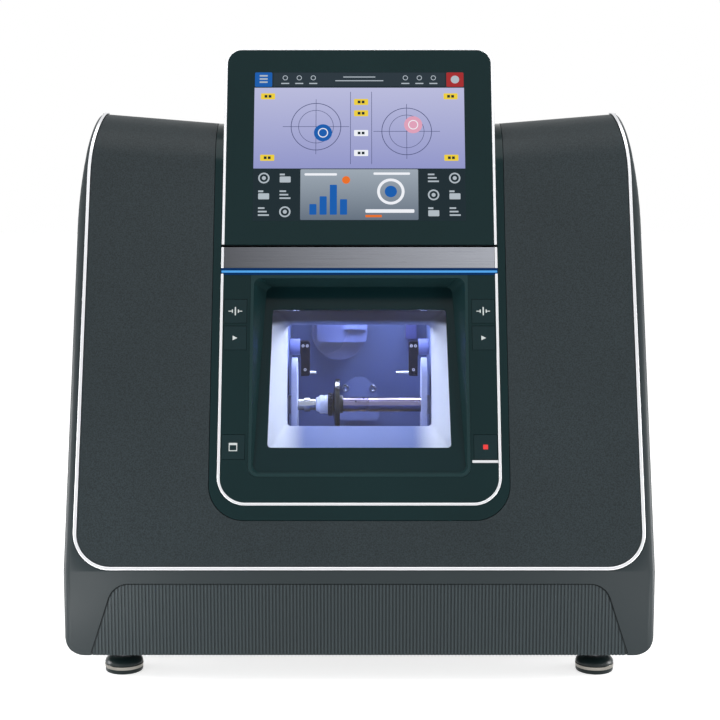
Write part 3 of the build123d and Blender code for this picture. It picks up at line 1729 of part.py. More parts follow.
# Lens feelers: each swings about its own shaft through a side wall of the tub
feeler_disc_radius = 8.0
feeler_disc_start = 71.6
feeler_disc_end = 60.3
feeler_arm_end = 51.0
feeler_arm_width = 9.0
feeler_arm_reach = 30.0
feeler_head = 6.0
stylus_rise = 3.0
stylus_radius = 1.4
stylus_lengths = {"left_feeler": 6.2, "right_feeler": 13.0}
feeler_knob_radius = 8.0
feeler_knob_width = 4.0
for feeler_name, stylus_length in stylus_lengths.items():
    with BuildPart() as feeler:
        shaft_end = tub_half_width + feeler_boss_length + seam_gap
        add(rod(feeler_disc_start, shaft_end, feeler_y, feeler_z, feeler_shaft_radius))
        add(
            rod(shaft_end, shaft_end + feeler_knob_width, feeler_y, feeler_z, feeler_knob_radius)
        )
        add(rod(feeler_disc_end, feeler_disc_start, feeler_y, feeler_z, feeler_disc_radius))
        with BuildSketch(Plane.YZ.offset(feeler_arm_end)):
            with Locations((feeler_y, feeler_z + feeler_head)):
                Rectangle(
                    feeler_arm_width,
                    feeler_head + feeler_arm_reach,
                    align=(Align.CENTER, Align.MAX),
                )
        extrude(amount=feeler_disc_end - feeler_arm_end)
        fillet(
            feeler.faces().sort_by(Axis.X)[0].edges().filter_by(Axis.Y), feeler_shaft_radius / 2
        )
        stylus_z = feeler_z - feeler_arm_reach + stylus_rise
        add(rod(feeler_arm_end - stylus_length, feeler_arm_end, feeler_y, stylus_z, stylus_radius))
    if feeler_name == "left_feeler":
        with BuildPart() as left_feeler:
            mirror(feeler.part, about=Plane.YZ)
        save(left_feeler, feeler_name)
    else:
        save(feeler, feeler_name)

# Drill head: a turret that tilts on the back wall, with the drill motor and spindle bracket
turret_radius = 28.6
turret_length = 47.0
turret_front = chamber_back - turret_length
turret_gap = 0.4
collar_length = 4.0
head_low = 295.2
head_high = 325.7
head_left = -44.0
head_right = 8.0
head_depth = 12.0
head_radius = 5.0
block_left = -17.0
block_low = 309.4
block_high = 316.7
block_depth = 6.0
drill_spindle_z = 320.6
drill_spindle_radius = 1.6
drill_spindle_lift = 4.2
lug_left = -5.0
lug_width = 8.0
lug_radius = 3.6
head_front = turret_front - head_depth
spindle_y = head_front - drill_spindle_lift
with BuildPart() as drill_head:
    with BuildSketch(Plane.XZ.offset(-chamber_back + turret_gap)):
        with Locations((drill_x, drill_z)):
            Circle(turret_radius)
    extrude(amount=chamber_back - turret_gap - turret_front)
    with BuildSketch(Plane.XZ.offset(-chamber_back - wall - drill_boss_length - turret_gap)):
        with Locations((drill_x, drill_z)):
            Circle(drill_shaft_radius)
    extrude(amount=wall + drill_boss_length + 2 * turret_gap)
    with BuildSketch(
        Plane.XZ.offset(-chamber_back - wall - drill_boss_length - turret_gap - collar_length)
    ):
        with Locations((drill_x, drill_z)):
            Circle(drill_boss_radius - drain_wall)
    extrude(amount=collar_length)
    with BuildSketch(Plane.XZ.offset(-turret_front)):
        with Locations(((head_left + head_right) / 2, (head_low + head_high) / 2)):
            RectangleRounded(head_right - head_left, head_high - head_low, head_radius)
    extrude(amount=head_depth)
    with BuildSketch(Plane.XZ.offset(-head_front)):
        with Locations(((block_left + head_right) / 2, (block_low + block_high) / 2)):
            Rectangle(head_right - block_left, block_high - block_low)
    extrude(amount=block_depth)
    with BuildSketch(Plane.YZ.offset(lug_left)):
        with Locations((spindle_y, drill_spindle_z)):
            Circle(lug_radius)
        with Locations((head_front, drill_spindle_z)):
            Rectangle(drill_spindle_lift, 2 * lug_radius, align=(Align.MAX, Align.CENTER))
    extrude(amount=lug_width)
    add(
        rod(
            lug_left,
            lug_left + lug_width,
            spindle_y,
            drill_spindle_z,
            drill_spindle_radius + bearing_gap,
        ),
        mode=Mode.SUBTRACT,
    )
save(drill_head, "drill_head")

# Drill bit: small spindle with its chuck and a thin bit
bit_chuck_radius = 2.4
bit_chuck_length = 9.0
bit_radius = 0.6
bit_length = 9.0
bit_gap = 0.3
with BuildPart() as drill_bit:
    chuck_right = lug_left - bit_gap
    chuck_left = chuck_right - bit_chuck_length
    lug_right = lug_left + lug_width + bit_gap
    add(rod(chuck_left - bit_length, chuck_left, spindle_y, drill_spindle_z, bit_radius))
    add(rod(chuck_left, chuck_right, spindle_y, drill_spindle_z, bit_chuck_radius))
    add(rod(chuck_right, lug_right, spindle_y, drill_spindle_z, drill_spindle_radius))
    add(rod(lug_right, lug_right + bit_chuck_radius, spindle_y, drill_spindle_z, bit_chuck_radius))
save(drill_bit, "drill_bit")

# Control box: sheet-metal case for the supply and boards, with cooling fins on its side
box_width = 104.0
box_length = 154.0
box_side_inset = 40.5
box_back_inset = 18.0
box_left = box_side_inset - body_half_width
box_right = box_left + box_width
box_back = rear_y - box_back_inset
box_front = box_back - box_length
box_top = 210.0
box_corner = 3.0
box_foot_height = 12.0
box_foot_radius = 6.0
box_foot_inset = 34.0
box_foot_x = box_right - box_foot_inset
box_foot_spacing = 44.0
fin_count = 9
fin_thickness = 2.0
fin_pitch = 14.0
fin_depth = 8.0
fin_margin = 14.0
with BuildPart() as control_box:
    box_middle = ((box_left + box_right) / 2, (box_front + box_back) / 2)
    with BuildSketch(Plane.XY.offset(deck_top)):
        with Locations((box_foot_x, box_middle[1])):
            with GridLocations(box_foot_spacing, box_length / 2, 2, 2):
                Circle(box_foot_radius)
    extrude(amount=box_foot_height)
    with BuildSketch(Plane.XY.offset(deck_top + box_foot_height)):
        with Locations(box_middle):
            RectangleRounded(box_width, box_length, box_corner)
    extrude(amount=box_top - deck_top - box_foot_height)
    with BuildSketch(Plane.XY.offset(deck_top + box_foot_height + fin_margin)):
        with Locations((box_left - fin_depth / 2, box_middle[1])):
            with GridLocations(0, fin_pitch, 1, fin_count):
                Rectangle(fin_depth, fin_thickness)
    extrude(amount=box_top - deck_top - box_foot_height - 2 * fin_margin)
save(control_box, "control_box")

# Cooling fan behind the slots of the hood
fan_size = 80.0
fan_depth = 20.0
fan_corner = 5.0
fan_hub_radius = 15.0
fan_mount_radius = 17.0
fan_mount_depth = 3.0
fan_strut_width = 4.0
fan_blade_radius = 35.5
fan_blade_count = 7
fan_blade_thickness = 1.6
fan_blade_tilt = 35.0
fan_blade_share = 0.72
fan_pin_radius = 2.0
fan_bearing_gap = 0.05
fan_back = rear_y - wall
fan_front = fan_back - fan_depth
rotor_front = fan_front + fan_mount_depth + belt_gap
rotor_back = fan_back - overrun
with BuildPart() as fan_frame:
    with BuildSketch(Plane.XZ.offset(-fan_back)):
        with Locations((fan_x, fan_z)):
            RectangleRounded(fan_size, fan_size, fan_corner)
            Circle(fan_bore, mode=Mode.SUBTRACT)
    extrude(amount=fan_depth)
    with BuildSketch(Plane.XZ.offset(-fan_front - fan_mount_depth)):
        with Locations((fan_x, fan_z)):
            Rectangle(fan_strut_width, 2 * fan_bore + fan_strut_width)
            Rectangle(2 * fan_bore + fan_strut_width, fan_strut_width)
            Circle(fan_mount_radius)
            Circle(fan_pin_radius + fan_bearing_gap, mode=Mode.SUBTRACT)
    extrude(amount=fan_mount_depth)
save(fan_frame, "fan_frame")

with BuildPart() as fan_rotor:
    with BuildSketch(Plane.XZ.offset(-rotor_back)):
        with Locations((fan_x, fan_z)):
            Circle(fan_hub_radius)
    extrude(amount=rotor_back - rotor_front)
    with BuildSketch(Plane.XZ.offset(-rotor_front)):
        with Locations((fan_x, fan_z)):
            Circle(fan_pin_radius)
    extrude(amount=rotor_front - fan_front)
    blade_width = fan_blade_share * (rotor_back - rotor_front)
    blade_middle = (rotor_back + rotor_front) / 2
    blade_root = fan_hub_radius - fan_blade_thickness
    for blade in range(fan_blade_count):
        turn = 2 * pi * blade / fan_blade_count
        outward = (cos(turn), 0, sin(turn))
        across = (-sin(turn), 0, cos(turn))
        tilt = radians(fan_blade_tilt)
        face = (across[0] * cos(tilt), -sin(tilt), across[2] * cos(tilt))
        blade_plane = Plane(
            origin=(
                fan_x + blade_root * outward[0],
                blade_middle,
                fan_z + blade_root * outward[2],
            ),
            x_dir=face,
            z_dir=outward,
        )
        with BuildSketch(blade_plane):
            Rectangle(blade_width, fan_blade_thickness)
        extrude(amount=fan_blade_radius - blade_root)
save(fan_rotor, "fan_rotor")

# Power inlet: flanged module with a socket for a cord and a well for the switch
inlet_flange_width = 56.0
inlet_flange_height = 66.0
inlet_flange_thickness = 3.0
inlet_body_depth = 26.0
inlet_wall = 2.0
socket_width = 26.0
socket_height = 18.0
socket_depth = 18.0
socket_drop = 13.0
pin_width = 4.0
pin_thickness = 2.0
pin_spacing = 7.0
pin_length = 14.0
well_width = 22.4
well_height = 24.0
well_rise = 13.0
well_depth = 14.0
rocker_radius = 11.4
rocker_thickness = 9.0
rocker_width = 22.0
rocker_pin_radius = 1.5
rocker_pin_reach = 3.0
rocker_angle = 10.0
rocker_low_angle = 30.0
rocker_flat_share = 0.42
inlet_face = rear_y + inlet_flange_thickness
well_z = inlet_z + well_rise
with BuildPart() as power_inlet:
    with BuildSketch(Plane.XZ.offset(-inlet_face)):
        with Locations((inlet_x, inlet_z)):
            RectangleRounded(inlet_flange_width, inlet_flange_height, fan_corner)
    extrude(amount=inlet_flange_thickness)
    with BuildSketch(Plane.XZ.offset(-rear_y)):
        with Locations((inlet_x, inlet_z)):
            Rectangle(inlet_cut_width - 2 * fit_gap, inlet_cut_height - 2 * fit_gap)
    extrude(amount=inlet_body_depth)
    with BuildSketch(Plane.XZ.offset(-inlet_face)):
        with Locations((inlet_x, inlet_z - socket_drop)):
            RectangleRounded(socket_width, socket_height, inlet_wall)
    extrude(amount=socket_depth, mode=Mode.SUBTRACT)
    with BuildSketch(Plane.XZ.offset(-inlet_face + socket_depth)):
        with Locations((inlet_x, inlet_z - socket_drop)):
            with GridLocations(pin_spacing, 0, 3, 1):
                Rectangle(pin_thickness, pin_width)
    extrude(amount=-pin_length)
    with BuildSketch(Plane.XZ.offset(-inlet_face)):
        with Locations((inlet_x, well_z)):
            Rectangle(well_width, well_height)
    extrude(amount=well_depth, mode=Mode.SUBTRACT)
    add(
        rod(
            inlet_x - well_width / 2 - rocker_pin_reach,
            inlet_x + well_width / 2 + rocker_pin_reach,
            rear_y,
            well_z,
            rocker_pin_radius + fan_bearing_gap,
        ),
        mode=Mode.SUBTRACT,
    )
save(power_inlet, "power_inlet")

with BuildPart() as power_rocker:
    rest = radians(rocker_angle)
    rest_low = radians(rocker_low_angle)
    with BuildSketch(Plane.YZ.offset(inlet_x - rocker_width / 2)):
        with BuildLine():
            lobe_top = (
                rear_y + rocker_radius * sin(rest),
                well_z + rocker_radius * cos(rest),
            )
            lobe_low = (
                rear_y + rocker_radius * sin(rest_low),
                well_z - rocker_radius * cos(rest_low),
            )
            Polyline(
                lobe_low,
                (rear_y + rocker_flat_share * rocker_radius, well_z),
                lobe_top,
                (rear_y - rocker_thickness, well_z + rocker_thickness / 2),
                (rear_y - rocker_thickness, well_z - rocker_thickness / 2),
                lobe_low,
            )
        make_face()
    extrude(amount=rocker_width)
    pin_start = inlet_x - well_width / 2 - rocker_pin_reach + fan_bearing_gap
    pin_finish = inlet_x + well_width / 2 + rocker_pin_reach - fan_bearing_gap
    add(rod(pin_start, pin_finish, rear_y, well_z, rocker_pin_radius))
save(power_rocker, "power_rocker")

# Water fittings: barbed drain and supply tails through the back of the hood
fitting_flange_rise = 4.5
fitting_flange_thickness = 3.0
fitting_nut_thickness = 6.0
barb_count = 3
barb_rise = 1.2
fitting_end = -lean_point(trim_bottom, trim_rise)[0]
with BuildPart() as water_fittings:
    for place_x, radius in ((drain_x, drain_radius), (supply_x, supply_radius)):
        bore = radius - drain_wall
        shank = radius - fit_gap
        fitting_axis = Axis(origin=(place_x, 0, fitting_z), direction=(0, 1, 0))
        barb_start = rear_y + fitting_flange_thickness
        barb_length = (fitting_end - barb_start) / barb_count
        nut_start = rear_y - wall - fitting_nut_thickness
        outline = [
            (bore, nut_start),
            (radius + fitting_flange_rise, nut_start),
            (radius + fitting_flange_rise, rear_y - wall),
            (shank, rear_y - wall),
            (shank, rear_y),
            (radius + fitting_flange_rise, rear_y),
            (radius + fitting_flange_rise, barb_start),
        ]
        for barb in range(barb_count):
            outline += [
                (shank, barb_start + barb * barb_length),
                (shank, barb_start + (barb + rib_share) * barb_length),
                (shank - barb_rise, barb_start + (barb + 1) * barb_length),
            ]
        outline += [(bore, fitting_end)]
        with BuildSketch(Plane(origin=(place_x, 0, fitting_z), x_dir=(1, 0, 0), z_dir=(0, 0, 1))):
            Polygon(*outline, align=None)
        revolve(axis=fitting_axis)
save(water_fittings, "water_fittings")

# Cover screws: pan heads with hexagon sockets along both edges of the back
screw_head_radius = 3.8
screw_head_height = 2.4
screw_head_edge = 0.8
screw_length = 9.0
screw_socket_radius = 1.7
screw_socket_depth = 1.4
with BuildPart() as cover_screws:
    places = [(side * screw_x, height) for side in (-1, 1) for height in screw_heights]
    with BuildSketch(Plane.XZ.offset(-rear_y)):
        with Locations(*places):
            Circle(screw_radius)
    extrude(amount=screw_length)
    with BuildSketch(Plane.XZ.offset(-rear_y - screw_head_height)):
        with Locations(*places):
            Circle(screw_head_radius)
    extrude(amount=screw_head_height)
    head_edges = cover_screws.edges().filter_by(GeomType.CIRCLE).group_by(Axis.Y)[-1]
    fillet(head_edges, screw_head_edge)
    with BuildSketch(Plane.XZ.offset(-rear_y - screw_head_height)):
        with Locations(*places):
            RegularPolygon(screw_socket_radius, 6)
    extrude(amount=screw_socket_depth, mode=Mode.SUBTRACT)
save(cover_screws, "cover_screws")
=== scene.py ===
"""Automatic lens edger: the dressed model, in metres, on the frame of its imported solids."""
from math import atan2, cos, pi, radians, sin, tan

import bpy
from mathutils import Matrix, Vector


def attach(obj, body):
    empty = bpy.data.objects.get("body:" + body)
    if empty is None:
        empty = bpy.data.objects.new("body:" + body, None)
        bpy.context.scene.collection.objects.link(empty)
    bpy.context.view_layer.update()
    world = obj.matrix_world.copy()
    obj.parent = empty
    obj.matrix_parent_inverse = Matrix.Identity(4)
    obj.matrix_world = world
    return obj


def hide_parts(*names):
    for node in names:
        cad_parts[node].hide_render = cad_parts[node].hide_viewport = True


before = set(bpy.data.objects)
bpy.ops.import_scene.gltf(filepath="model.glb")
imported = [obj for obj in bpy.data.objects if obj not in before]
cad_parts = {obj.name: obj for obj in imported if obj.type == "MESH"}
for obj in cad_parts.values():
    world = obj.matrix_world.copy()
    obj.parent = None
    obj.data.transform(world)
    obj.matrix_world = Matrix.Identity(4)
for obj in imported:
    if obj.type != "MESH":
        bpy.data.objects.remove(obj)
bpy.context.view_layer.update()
bpy.ops.object.select_all(action="DESELECT")
MM = 0.001
FRONT_Y = -252.5
LEAN_FOOT_Z = 108.5
LEAN = radians(22.0)
CHUCK_Y = -80.0
CHUCK_Z = 237.5
SIDES = ((-1, "left"), (1, "right"))
WHITE = (1.0, 1.0, 1.0, 1.0)
BLACK = (0.0, 0.0, 0.0, 1.0)

# Camera: level with the screen's lower half, a little above the console and looking
# down on it, far enough away that the body's sides hardly close up.
CAMERA_LENS = 87.05
CAMERA_SENSOR = 36.0
CAMERA_SHIFT = 0.00097
CAMERA_PLACE = (0.0, -1.8301, 0.5293)
CAMERA_PITCH = radians(8.0)
camera_data = bpy.data.cameras.new("camera")
camera_data.lens = CAMERA_LENS
camera_data.sensor_width = CAMERA_SENSOR
camera_data.shift_x = CAMERA_SHIFT
camera = bpy.data.objects.new("camera", camera_data)
camera.location = CAMERA_PLACE
camera.rotation_euler = (pi / 2 - CAMERA_PITCH, 0.0, 0.0)
bpy.context.scene.collection.objects.link(camera)
bpy.context.scene.camera = camera


def srgb(red, green, blue):
    """Linear colour of a tone as it is read off a screen, 0 to 255."""

    def straighten(tone):
        tone = tone / 255
        return tone / 12.92 if tone <= 0.04045 else ((tone + 0.055) / 1.055) ** 2.4

    return (straighten(red), straighten(green), straighten(blue), 1.0)


def new_material(name):
    """Empty node material with its output and one Principled shader."""
    material = bpy.data.materials.new(name)
    material.use_nodes = True
    material.node_tree.nodes.clear()
    output = material.node_tree.nodes.new("ShaderNodeOutputMaterial")
    shader = material.node_tree.nodes.new("ShaderNodeBsdfPrincipled")
    material.node_tree.links.new(shader.outputs["BSDF"], output.inputs["Surface"])
    return material, shader, output


def add_node(tree, kind, inputs, **settings):
    """New node in a tree, each of its inputs given as a plain value or as a socket."""
    node = tree.nodes.new(kind)
    for setting, value in settings.items():
        setattr(node, setting, value)
    for place, value in inputs.items():
        if isinstance(value, bpy.types.NodeSocket):
            tree.links.new(value, node.inputs[place])
        else:
            node.inputs[place].default_value = value
    return node


def arithmetic(tree, operation, first, second, clamp=False):
    """Result of one arithmetic step on two numbers or sockets."""
    step = add_node(tree, "ShaderNodeMath", {0: first, 1: second}, operation=operation,
                    use_clamp=clamp)
    return step.outputs[0]


def in_sight(tree):
    """1 where the camera looks, directly, by reflection or through glass, and 0 elsewhere."""
    path = add_node(tree, "ShaderNodeLightPath", {})
    mirrored = arithmetic(
        tree, "ADD", path.outputs["Is Camera Ray"], path.outputs["Is Glossy Ray"], clamp=True
    )
    return arithmetic(tree, "ADD", mirrored, path.outputs["Is Transmission Ray"], clamp=True)


def rescale(tree, source, low, high, new_low, new_high):
    """Number carried over from one range to another, and kept inside it."""
    span = {"Value": source, "From Min": low, "From Max": high}
    span.update({"To Min": new_low, "To Max": new_high})
    return add_node(tree, "ShaderNodeMapRange", span).outputs["Result"]


# Floor and studio: a pale seamless sweep that the camera sees as white, with a soft
# shadow left under the feet, and one plain level of light from above and the front.
FLOOR_GLOW = 0.72
WORLD_LIGHT = 0.42
bpy.ops.mesh.primitive_plane_add(size=12.0, location=(0.0, 0.0, 0.0))
floor = bpy.context.object
floor.name = "floor"
floor_material, floor_shader, floor_output = new_material("floor_paper")
floor_shader.inputs["Base Color"].default_value = (0.8, 0.8, 0.8, 1.0)
floor_shader.inputs["Roughness"].default_value = 0.9
floor_tree = floor_material.node_tree
floor_glow = arithmetic(floor_tree, "MULTIPLY", in_sight(floor_tree), FLOOR_GLOW)
glow = add_node(floor_tree, "ShaderNodeEmission", {"Color": WHITE, "Strength": floor_glow})
lit_floor = add_node(
    floor_tree, "ShaderNodeAddShader", {0: glow.outputs[0], 1: floor_shader.outputs["BSDF"]}
)
floor_tree.links.new(lit_floor.outputs[0], floor_output.inputs["Surface"])
floor.data.materials.append(floor_material)

bpy.context.scene.view_settings.view_transform = "Standard"
world = bpy.data.worlds.new("studio")
bpy.context.scene.world = world
world.use_nodes = True
world_tree = world.node_tree
world_tree.nodes.clear()
world_level = rescale(world_tree, in_sight(world_tree), 0.0, 1.0, WORLD_LIGHT, 1.0)
backdrop = add_node(
    world_tree, "ShaderNodeBackground", {"Color": WHITE, "Strength": world_level}
)
add_node(world_tree, "ShaderNodeOutputWorld", {"Surface": backdrop.outputs[0]})


def soft_lamp(name, place, aim, width, height, watts):
    """Rectangular soft box that looks from one point at another."""
    lamp = bpy.data.lights.new(name, "AREA")
    lamp.shape = "RECTANGLE"
    lamp.size = width
    lamp.size_y = height
    lamp.energy = watts
    holder = bpy.data.objects.new(name, lamp)
    holder.location = place
    holder.rotation_euler = (Vector(aim) - Vector(place)).to_track_quat("-Z", "Y").to_euler()
    bpy.context.scene.collection.objects.link(holder)
    return holder


BODY_MIDDLE = (0.0, 0.0, 0.3)
soft_lamp("top_box", (0.0, -0.6, 2.4), BODY_MIDDLE, 2.4, 1.6, 32.0)
for side, place in SIDES:
    soft_lamp(place + "_box", (side * 2.2, -1.5, 1.3), BODY_MIDDLE, 1.2, 1.8, 9.0)
for (side, place), low_watts in zip(SIDES, (2.6, 3.2)):
    low_aim = (side * 0.2, -0.2, 0.18)
    soft_lamp("low_" + place + "_box", (side * 0.78, -0.95, 0.12), low_aim, 0.3, 0.3, low_watts)
for (side, place), skirt_watts in zip(SIDES, (0.36, 0.12)):
    skirt_aim = (side * 0.28, -0.25, 0.1)
    spill = soft_lamp("skirt_" + place, (side * 0.34, -0.56, 0.03), skirt_aim, 0.08, 0.05,
                      skirt_watts)
    spill.visible_camera = False
    strip_aim = (side * 0.27, -0.15, 0.25)
    soft_lamp("side_" + place, (side * 1.3, -0.1, 0.25), strip_aim, 0.5, 0.5, 9.0)


def finish_node(node, material):
    """Give a solid of the frame its finish, where its shape is right as it is."""
    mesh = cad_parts[node].data
    mesh.materials.clear()
    mesh.materials.append(material)


def object_place(tree):
    """Place on the piece itself, in metres."""
    return add_node(tree, "ShaderNodeTexCoord", {}).outputs["Object"]


def noise(tree, place, scale, detail):
    """Even noise, `scale` grains to the metre."""
    setup = {"Vector": place, "Scale": scale, "Detail": detail}
    return add_node(tree, "ShaderNodeTexNoise", setup).outputs["Fac"]


def tinted(tree, colour, factor):
    """Colour made darker or lighter by a factor, each given as a value or as a socket."""
    layer = add_node(
        tree, "ShaderNodeMix", {"Factor": 1.0, "A": colour, "B": factor},
        data_type="RGBA", blend_type="MULTIPLY",
    )
    return layer.outputs["Result"]


def emboss(tree, shader, height, strength, depth):
    """Relief on the surface of a material, its depth in mm."""
    relief = {"Strength": strength, "Distance": depth * MM, "Height": height}
    bump = add_node(tree, "ShaderNodeBump", relief)
    tree.links.new(bump.outputs["Normal"], shader.inputs["Normal"])


CLOUD_SCALE = 9.0
FLECK_SCALE = 850.0


def moulding(name, colour, roughness, grain, depth, cloud=0.12, gloss=0.5, speckle=0.0):
    """Moulded plastic: spark-eroded grain in the bump, and a faint cloudiness in the tone."""
    material, shader, output = new_material(name)
    tree = material.node_tree
    place = object_place(tree)
    emboss(tree, shader, noise(tree, place, grain, 3.0), 0.6, depth)
    broad = noise(tree, place, CLOUD_SCALE, 2.0)
    tone = tinted(tree, colour, rescale(tree, broad, 0.3, 0.7, 1.0 - cloud, 1.0 + cloud))
    if speckle:
        fleck = noise(tree, place, FLECK_SCALE, 1.0)
        tone = tinted(tree, tone, rescale(tree, fleck, 0.35, 0.65, 1.0 - speckle, 1.0 + speckle))
    tree.links.new(tone, shader.inputs["Base Color"])
    rub = rescale(tree, broad, 0.3, 0.7, roughness - 0.04, roughness + 0.04)
    tree.links.new(rub, shader.inputs["Roughness"])
    shader.inputs["Specular IOR Level"].default_value = gloss
    return material


def metal(name, colour, roughness, brush=(1.0, 1.0, 1.0), scale=300.0, depth=0.01, spread=0.06):
    """Worked metal: `brush` stretches the grain, so that a low number runs along the strokes."""
    material, shader, output = new_material(name)
    tree = material.node_tree
    setup = {"Vector": object_place(tree), "Scale": brush}
    stretch = add_node(tree, "ShaderNodeMapping", setup).outputs["Vector"]
    strokes = noise(tree, stretch, scale, 4.0)
    smoothest = max(roughness - spread, 0.02)
    rough = rescale(tree, strokes, 0.0, 1.0, smoothest, roughness + spread)
    tree.links.new(rough, shader.inputs["Roughness"])
    emboss(tree, shader, strokes, 0.35, depth)
    tone = tinted(tree, colour, rescale(tree, strokes, 0.0, 1.0, 0.9, 1.08))
    tree.links.new(tone, shader.inputs["Base Color"])
    shader.inputs["Metallic"].default_value = 1.0
    return material


def only(piece):
    """Leave one piece selected and active."""
    bpy.ops.object.select_all(action="DESELECT")
    piece.select_set(True)
    bpy.context.view_layer.objects.active = piece


def true_up(node, name, body, material, edge=0.4, angle=32.0, segments=2):
    """A solid's own shape again as a finished piece, with its sharp edges broken."""
    piece = bpy.data.objects.new(name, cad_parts[node].data.copy())
    bpy.context.scene.collection.objects.link(piece)
    only(piece)
    bpy.ops.mesh.customdata_custom_splitnormals_clear()
    bpy.ops.object.mode_set(mode="EDIT")
    bpy.ops.mesh.select_all(action="SELECT")
    bpy.ops.mesh.remove_doubles(threshold=0.000002)
    bpy.ops.mesh.dissolve_limited(angle_limit=radians(0.4))
    bpy.ops.object.mode_set(mode="OBJECT")
    if edge:
        rounding = piece.modifiers.new("edge", "BEVEL")
        rounding.width = edge * MM
        rounding.segments = segments
        rounding.limit_method = "ANGLE"
        rounding.angle_limit = radians(angle)
        rounding.use_clamp_overlap = True
        rounding.miter_outer = "MITER_ARC"
        bpy.ops.object.modifier_apply(modifier="edge")
    bpy.ops.object.shade_smooth_by_angle(angle=radians(angle))
    flat_sides = piece.modifiers.new("flat_sides", "WEIGHTED_NORMAL")
    flat_sides.keep_sharp = True
    bpy.ops.object.modifier_apply(modifier="flat_sides")
    piece.data.materials.clear()
    piece.data.materials.append(material)
    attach(piece, body)
    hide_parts(node)
    return piece


# Base pan: folded steel sheet, powder coated, with a boss for each foot pressed into it.
# It carries the casting and closes the machine from below.
pan_coat = moulding("pan_coat", srgb(52, 53, 56), 0.5, 900.0, 0.04)
finish_node("base_pan", pan_coat)


def turned(name, profile, centre, along="Z", steps=64):
    """Piece turned on a lathe: `profile` gives radius and height from the centre, in mm."""
    bpy.ops.object.select_all(action="DESELECT")
    bpy.context.tool_settings.mesh_select_mode = (True, False, False)
    bpy.ops.mesh.primitive_plane_add(size=MM, location=(0.0, 0.0, 0.0))
    piece = bpy.context.object
    piece.name = name
    axes = {"X": (1.0, 0.0, 0.0), "Y": (0.0, 1.0, 0.0), "Z": (0.0, 0.0, 1.0)}
    outward = Vector(axes["Z"] if along != "Z" else axes["X"])
    forward = Vector(axes[along])
    places = [Vector(centre) * MM + (outward * r + forward * h) * MM for r, h in profile]
    bpy.ops.object.mode_set(mode="EDIT")
    bpy.ops.mesh.select_all(action="SELECT")
    bpy.ops.mesh.merge(type="CENTER")
    bpy.ops.transform.translate(value=places[0])
    for before, after in zip(places, places[1:]):
        bpy.ops.mesh.extrude_vertices_move(TRANSFORM_OT_translate={"value": after - before})
    bpy.ops.mesh.select_all(action="SELECT")
    bpy.ops.mesh.spin(
        steps=steps, angle=2 * pi, center=Vector(centre) * MM, axis=forward, use_auto_merge=True
    )
    bpy.ops.mesh.select_all(action="SELECT")
    bpy.ops.mesh.remove_doubles(threshold=0.000003)
    bpy.ops.mesh.normals_make_consistent(inside=False)
    bpy.ops.object.mode_set(mode="OBJECT")
    bpy.ops.object.shade_smooth_by_angle(angle=radians(28.0))
    return piece


def mount_piece(piece, body, slot, material, *stands_for):
    """Finish a new piece: its material, the body it rides on and the solids it stands for."""
    piece.data.materials.clear()
    piece.data.materials.append(material)
    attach(piece, body)
    if stands_for:
        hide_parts(*stands_for)
    return piece


# Levelling feet: a moulded black puck with a plated band let into its rim, and the
# hexagon and threaded stem that screw up into the boss of the pan.
foot_puck = moulding("foot_puck", srgb(16, 28, 29), 0.3, 700.0, 0.03, gloss=0.25)
foot_plate = metal("foot_plate", srgb(148, 145, 138), 0.16)
foot_steel = metal("foot_steel", srgb(96, 96, 100), 0.34)
FOOT_X = 226.5
FOOT_Y = 208.0
foot_centres = {
    "front_left": (-FOOT_X, -FOOT_Y),
    "front_right": (FOOT_X, -FOOT_Y),
    "rear_left": (-FOOT_X, FOOT_Y),
    "rear_right": (FOOT_X, FOOT_Y),
}
puck_profile = [
    (0.0, 0.0), (16.6, 0.0), (17.6, 0.5), (18.0, 1.5), (18.0, 3.6), (17.7, 3.8), (17.7, 8.6),
    (18.0, 8.8), (18.2, 9.6), (17.6, 11.4), (16.0, 13.2), (13.4, 14.6), (10.6, 15.3), (9.2, 15.5),
    (0.0, 15.5),
]
band_profile = [
    (17.2, 4.4), (18.2, 4.4), (18.5, 4.8), (18.5, 7.4), (18.2, 7.8), (17.2, 7.8), (17.2, 4.4),
]
THREAD_PITCH = 1.4
stem_profile = [(0.0, 20.0)]
for turn in range(21):
    root = 20.1 + THREAD_PITCH * turn
    stem_profile += [(5.1, root), (6.0, root + THREAD_PITCH / 2)]
stem_profile += [(5.1, 49.5), (0.0, 49.8)]
for corner, (foot_x, foot_y) in foot_centres.items():
    foot_body = "foot_" + corner
    puck = turned(corner + "_puck", puck_profile, (foot_x, foot_y, 0.0))
    mount_piece(puck, foot_body, "foot_black", foot_puck, corner + "_foot")
    band = turned(corner + "_band", band_profile, (foot_x, foot_y, 0.0))
    mount_piece(band, foot_body, "trim_silver", foot_plate)
    stem = turned(corner + "_stem", stem_profile, (foot_x, foot_y, 0.0), steps=32)
    mount_piece(stem, foot_body, "steel", foot_steel)
    bpy.ops.object.select_all(action="DESELECT")
    nut_centre = (foot_x * MM, foot_y * MM, 17.8 * MM)
    bpy.ops.mesh.primitive_cylinder_add(
        vertices=6, radius=10.4 * MM, depth=4.6 * MM, location=nut_centre
    )
    nut = bpy.context.object
    nut.name = corner + "_nut"
    bpy.ops.object.transform_apply(location=True, rotation=True, scale=True)
    chamfer = nut.modifiers.new("chamfer", "BEVEL")
    chamfer.width = 0.6 * MM
    chamfer.segments = 2
    chamfer.limit_method = "ANGLE"
    bpy.ops.object.modifier_apply(modifier="chamfer")
    bpy.ops.object.shade_smooth_by_angle(angle=radians(28.0))
    mount_piece(nut, foot_body, "steel", foot_steel)

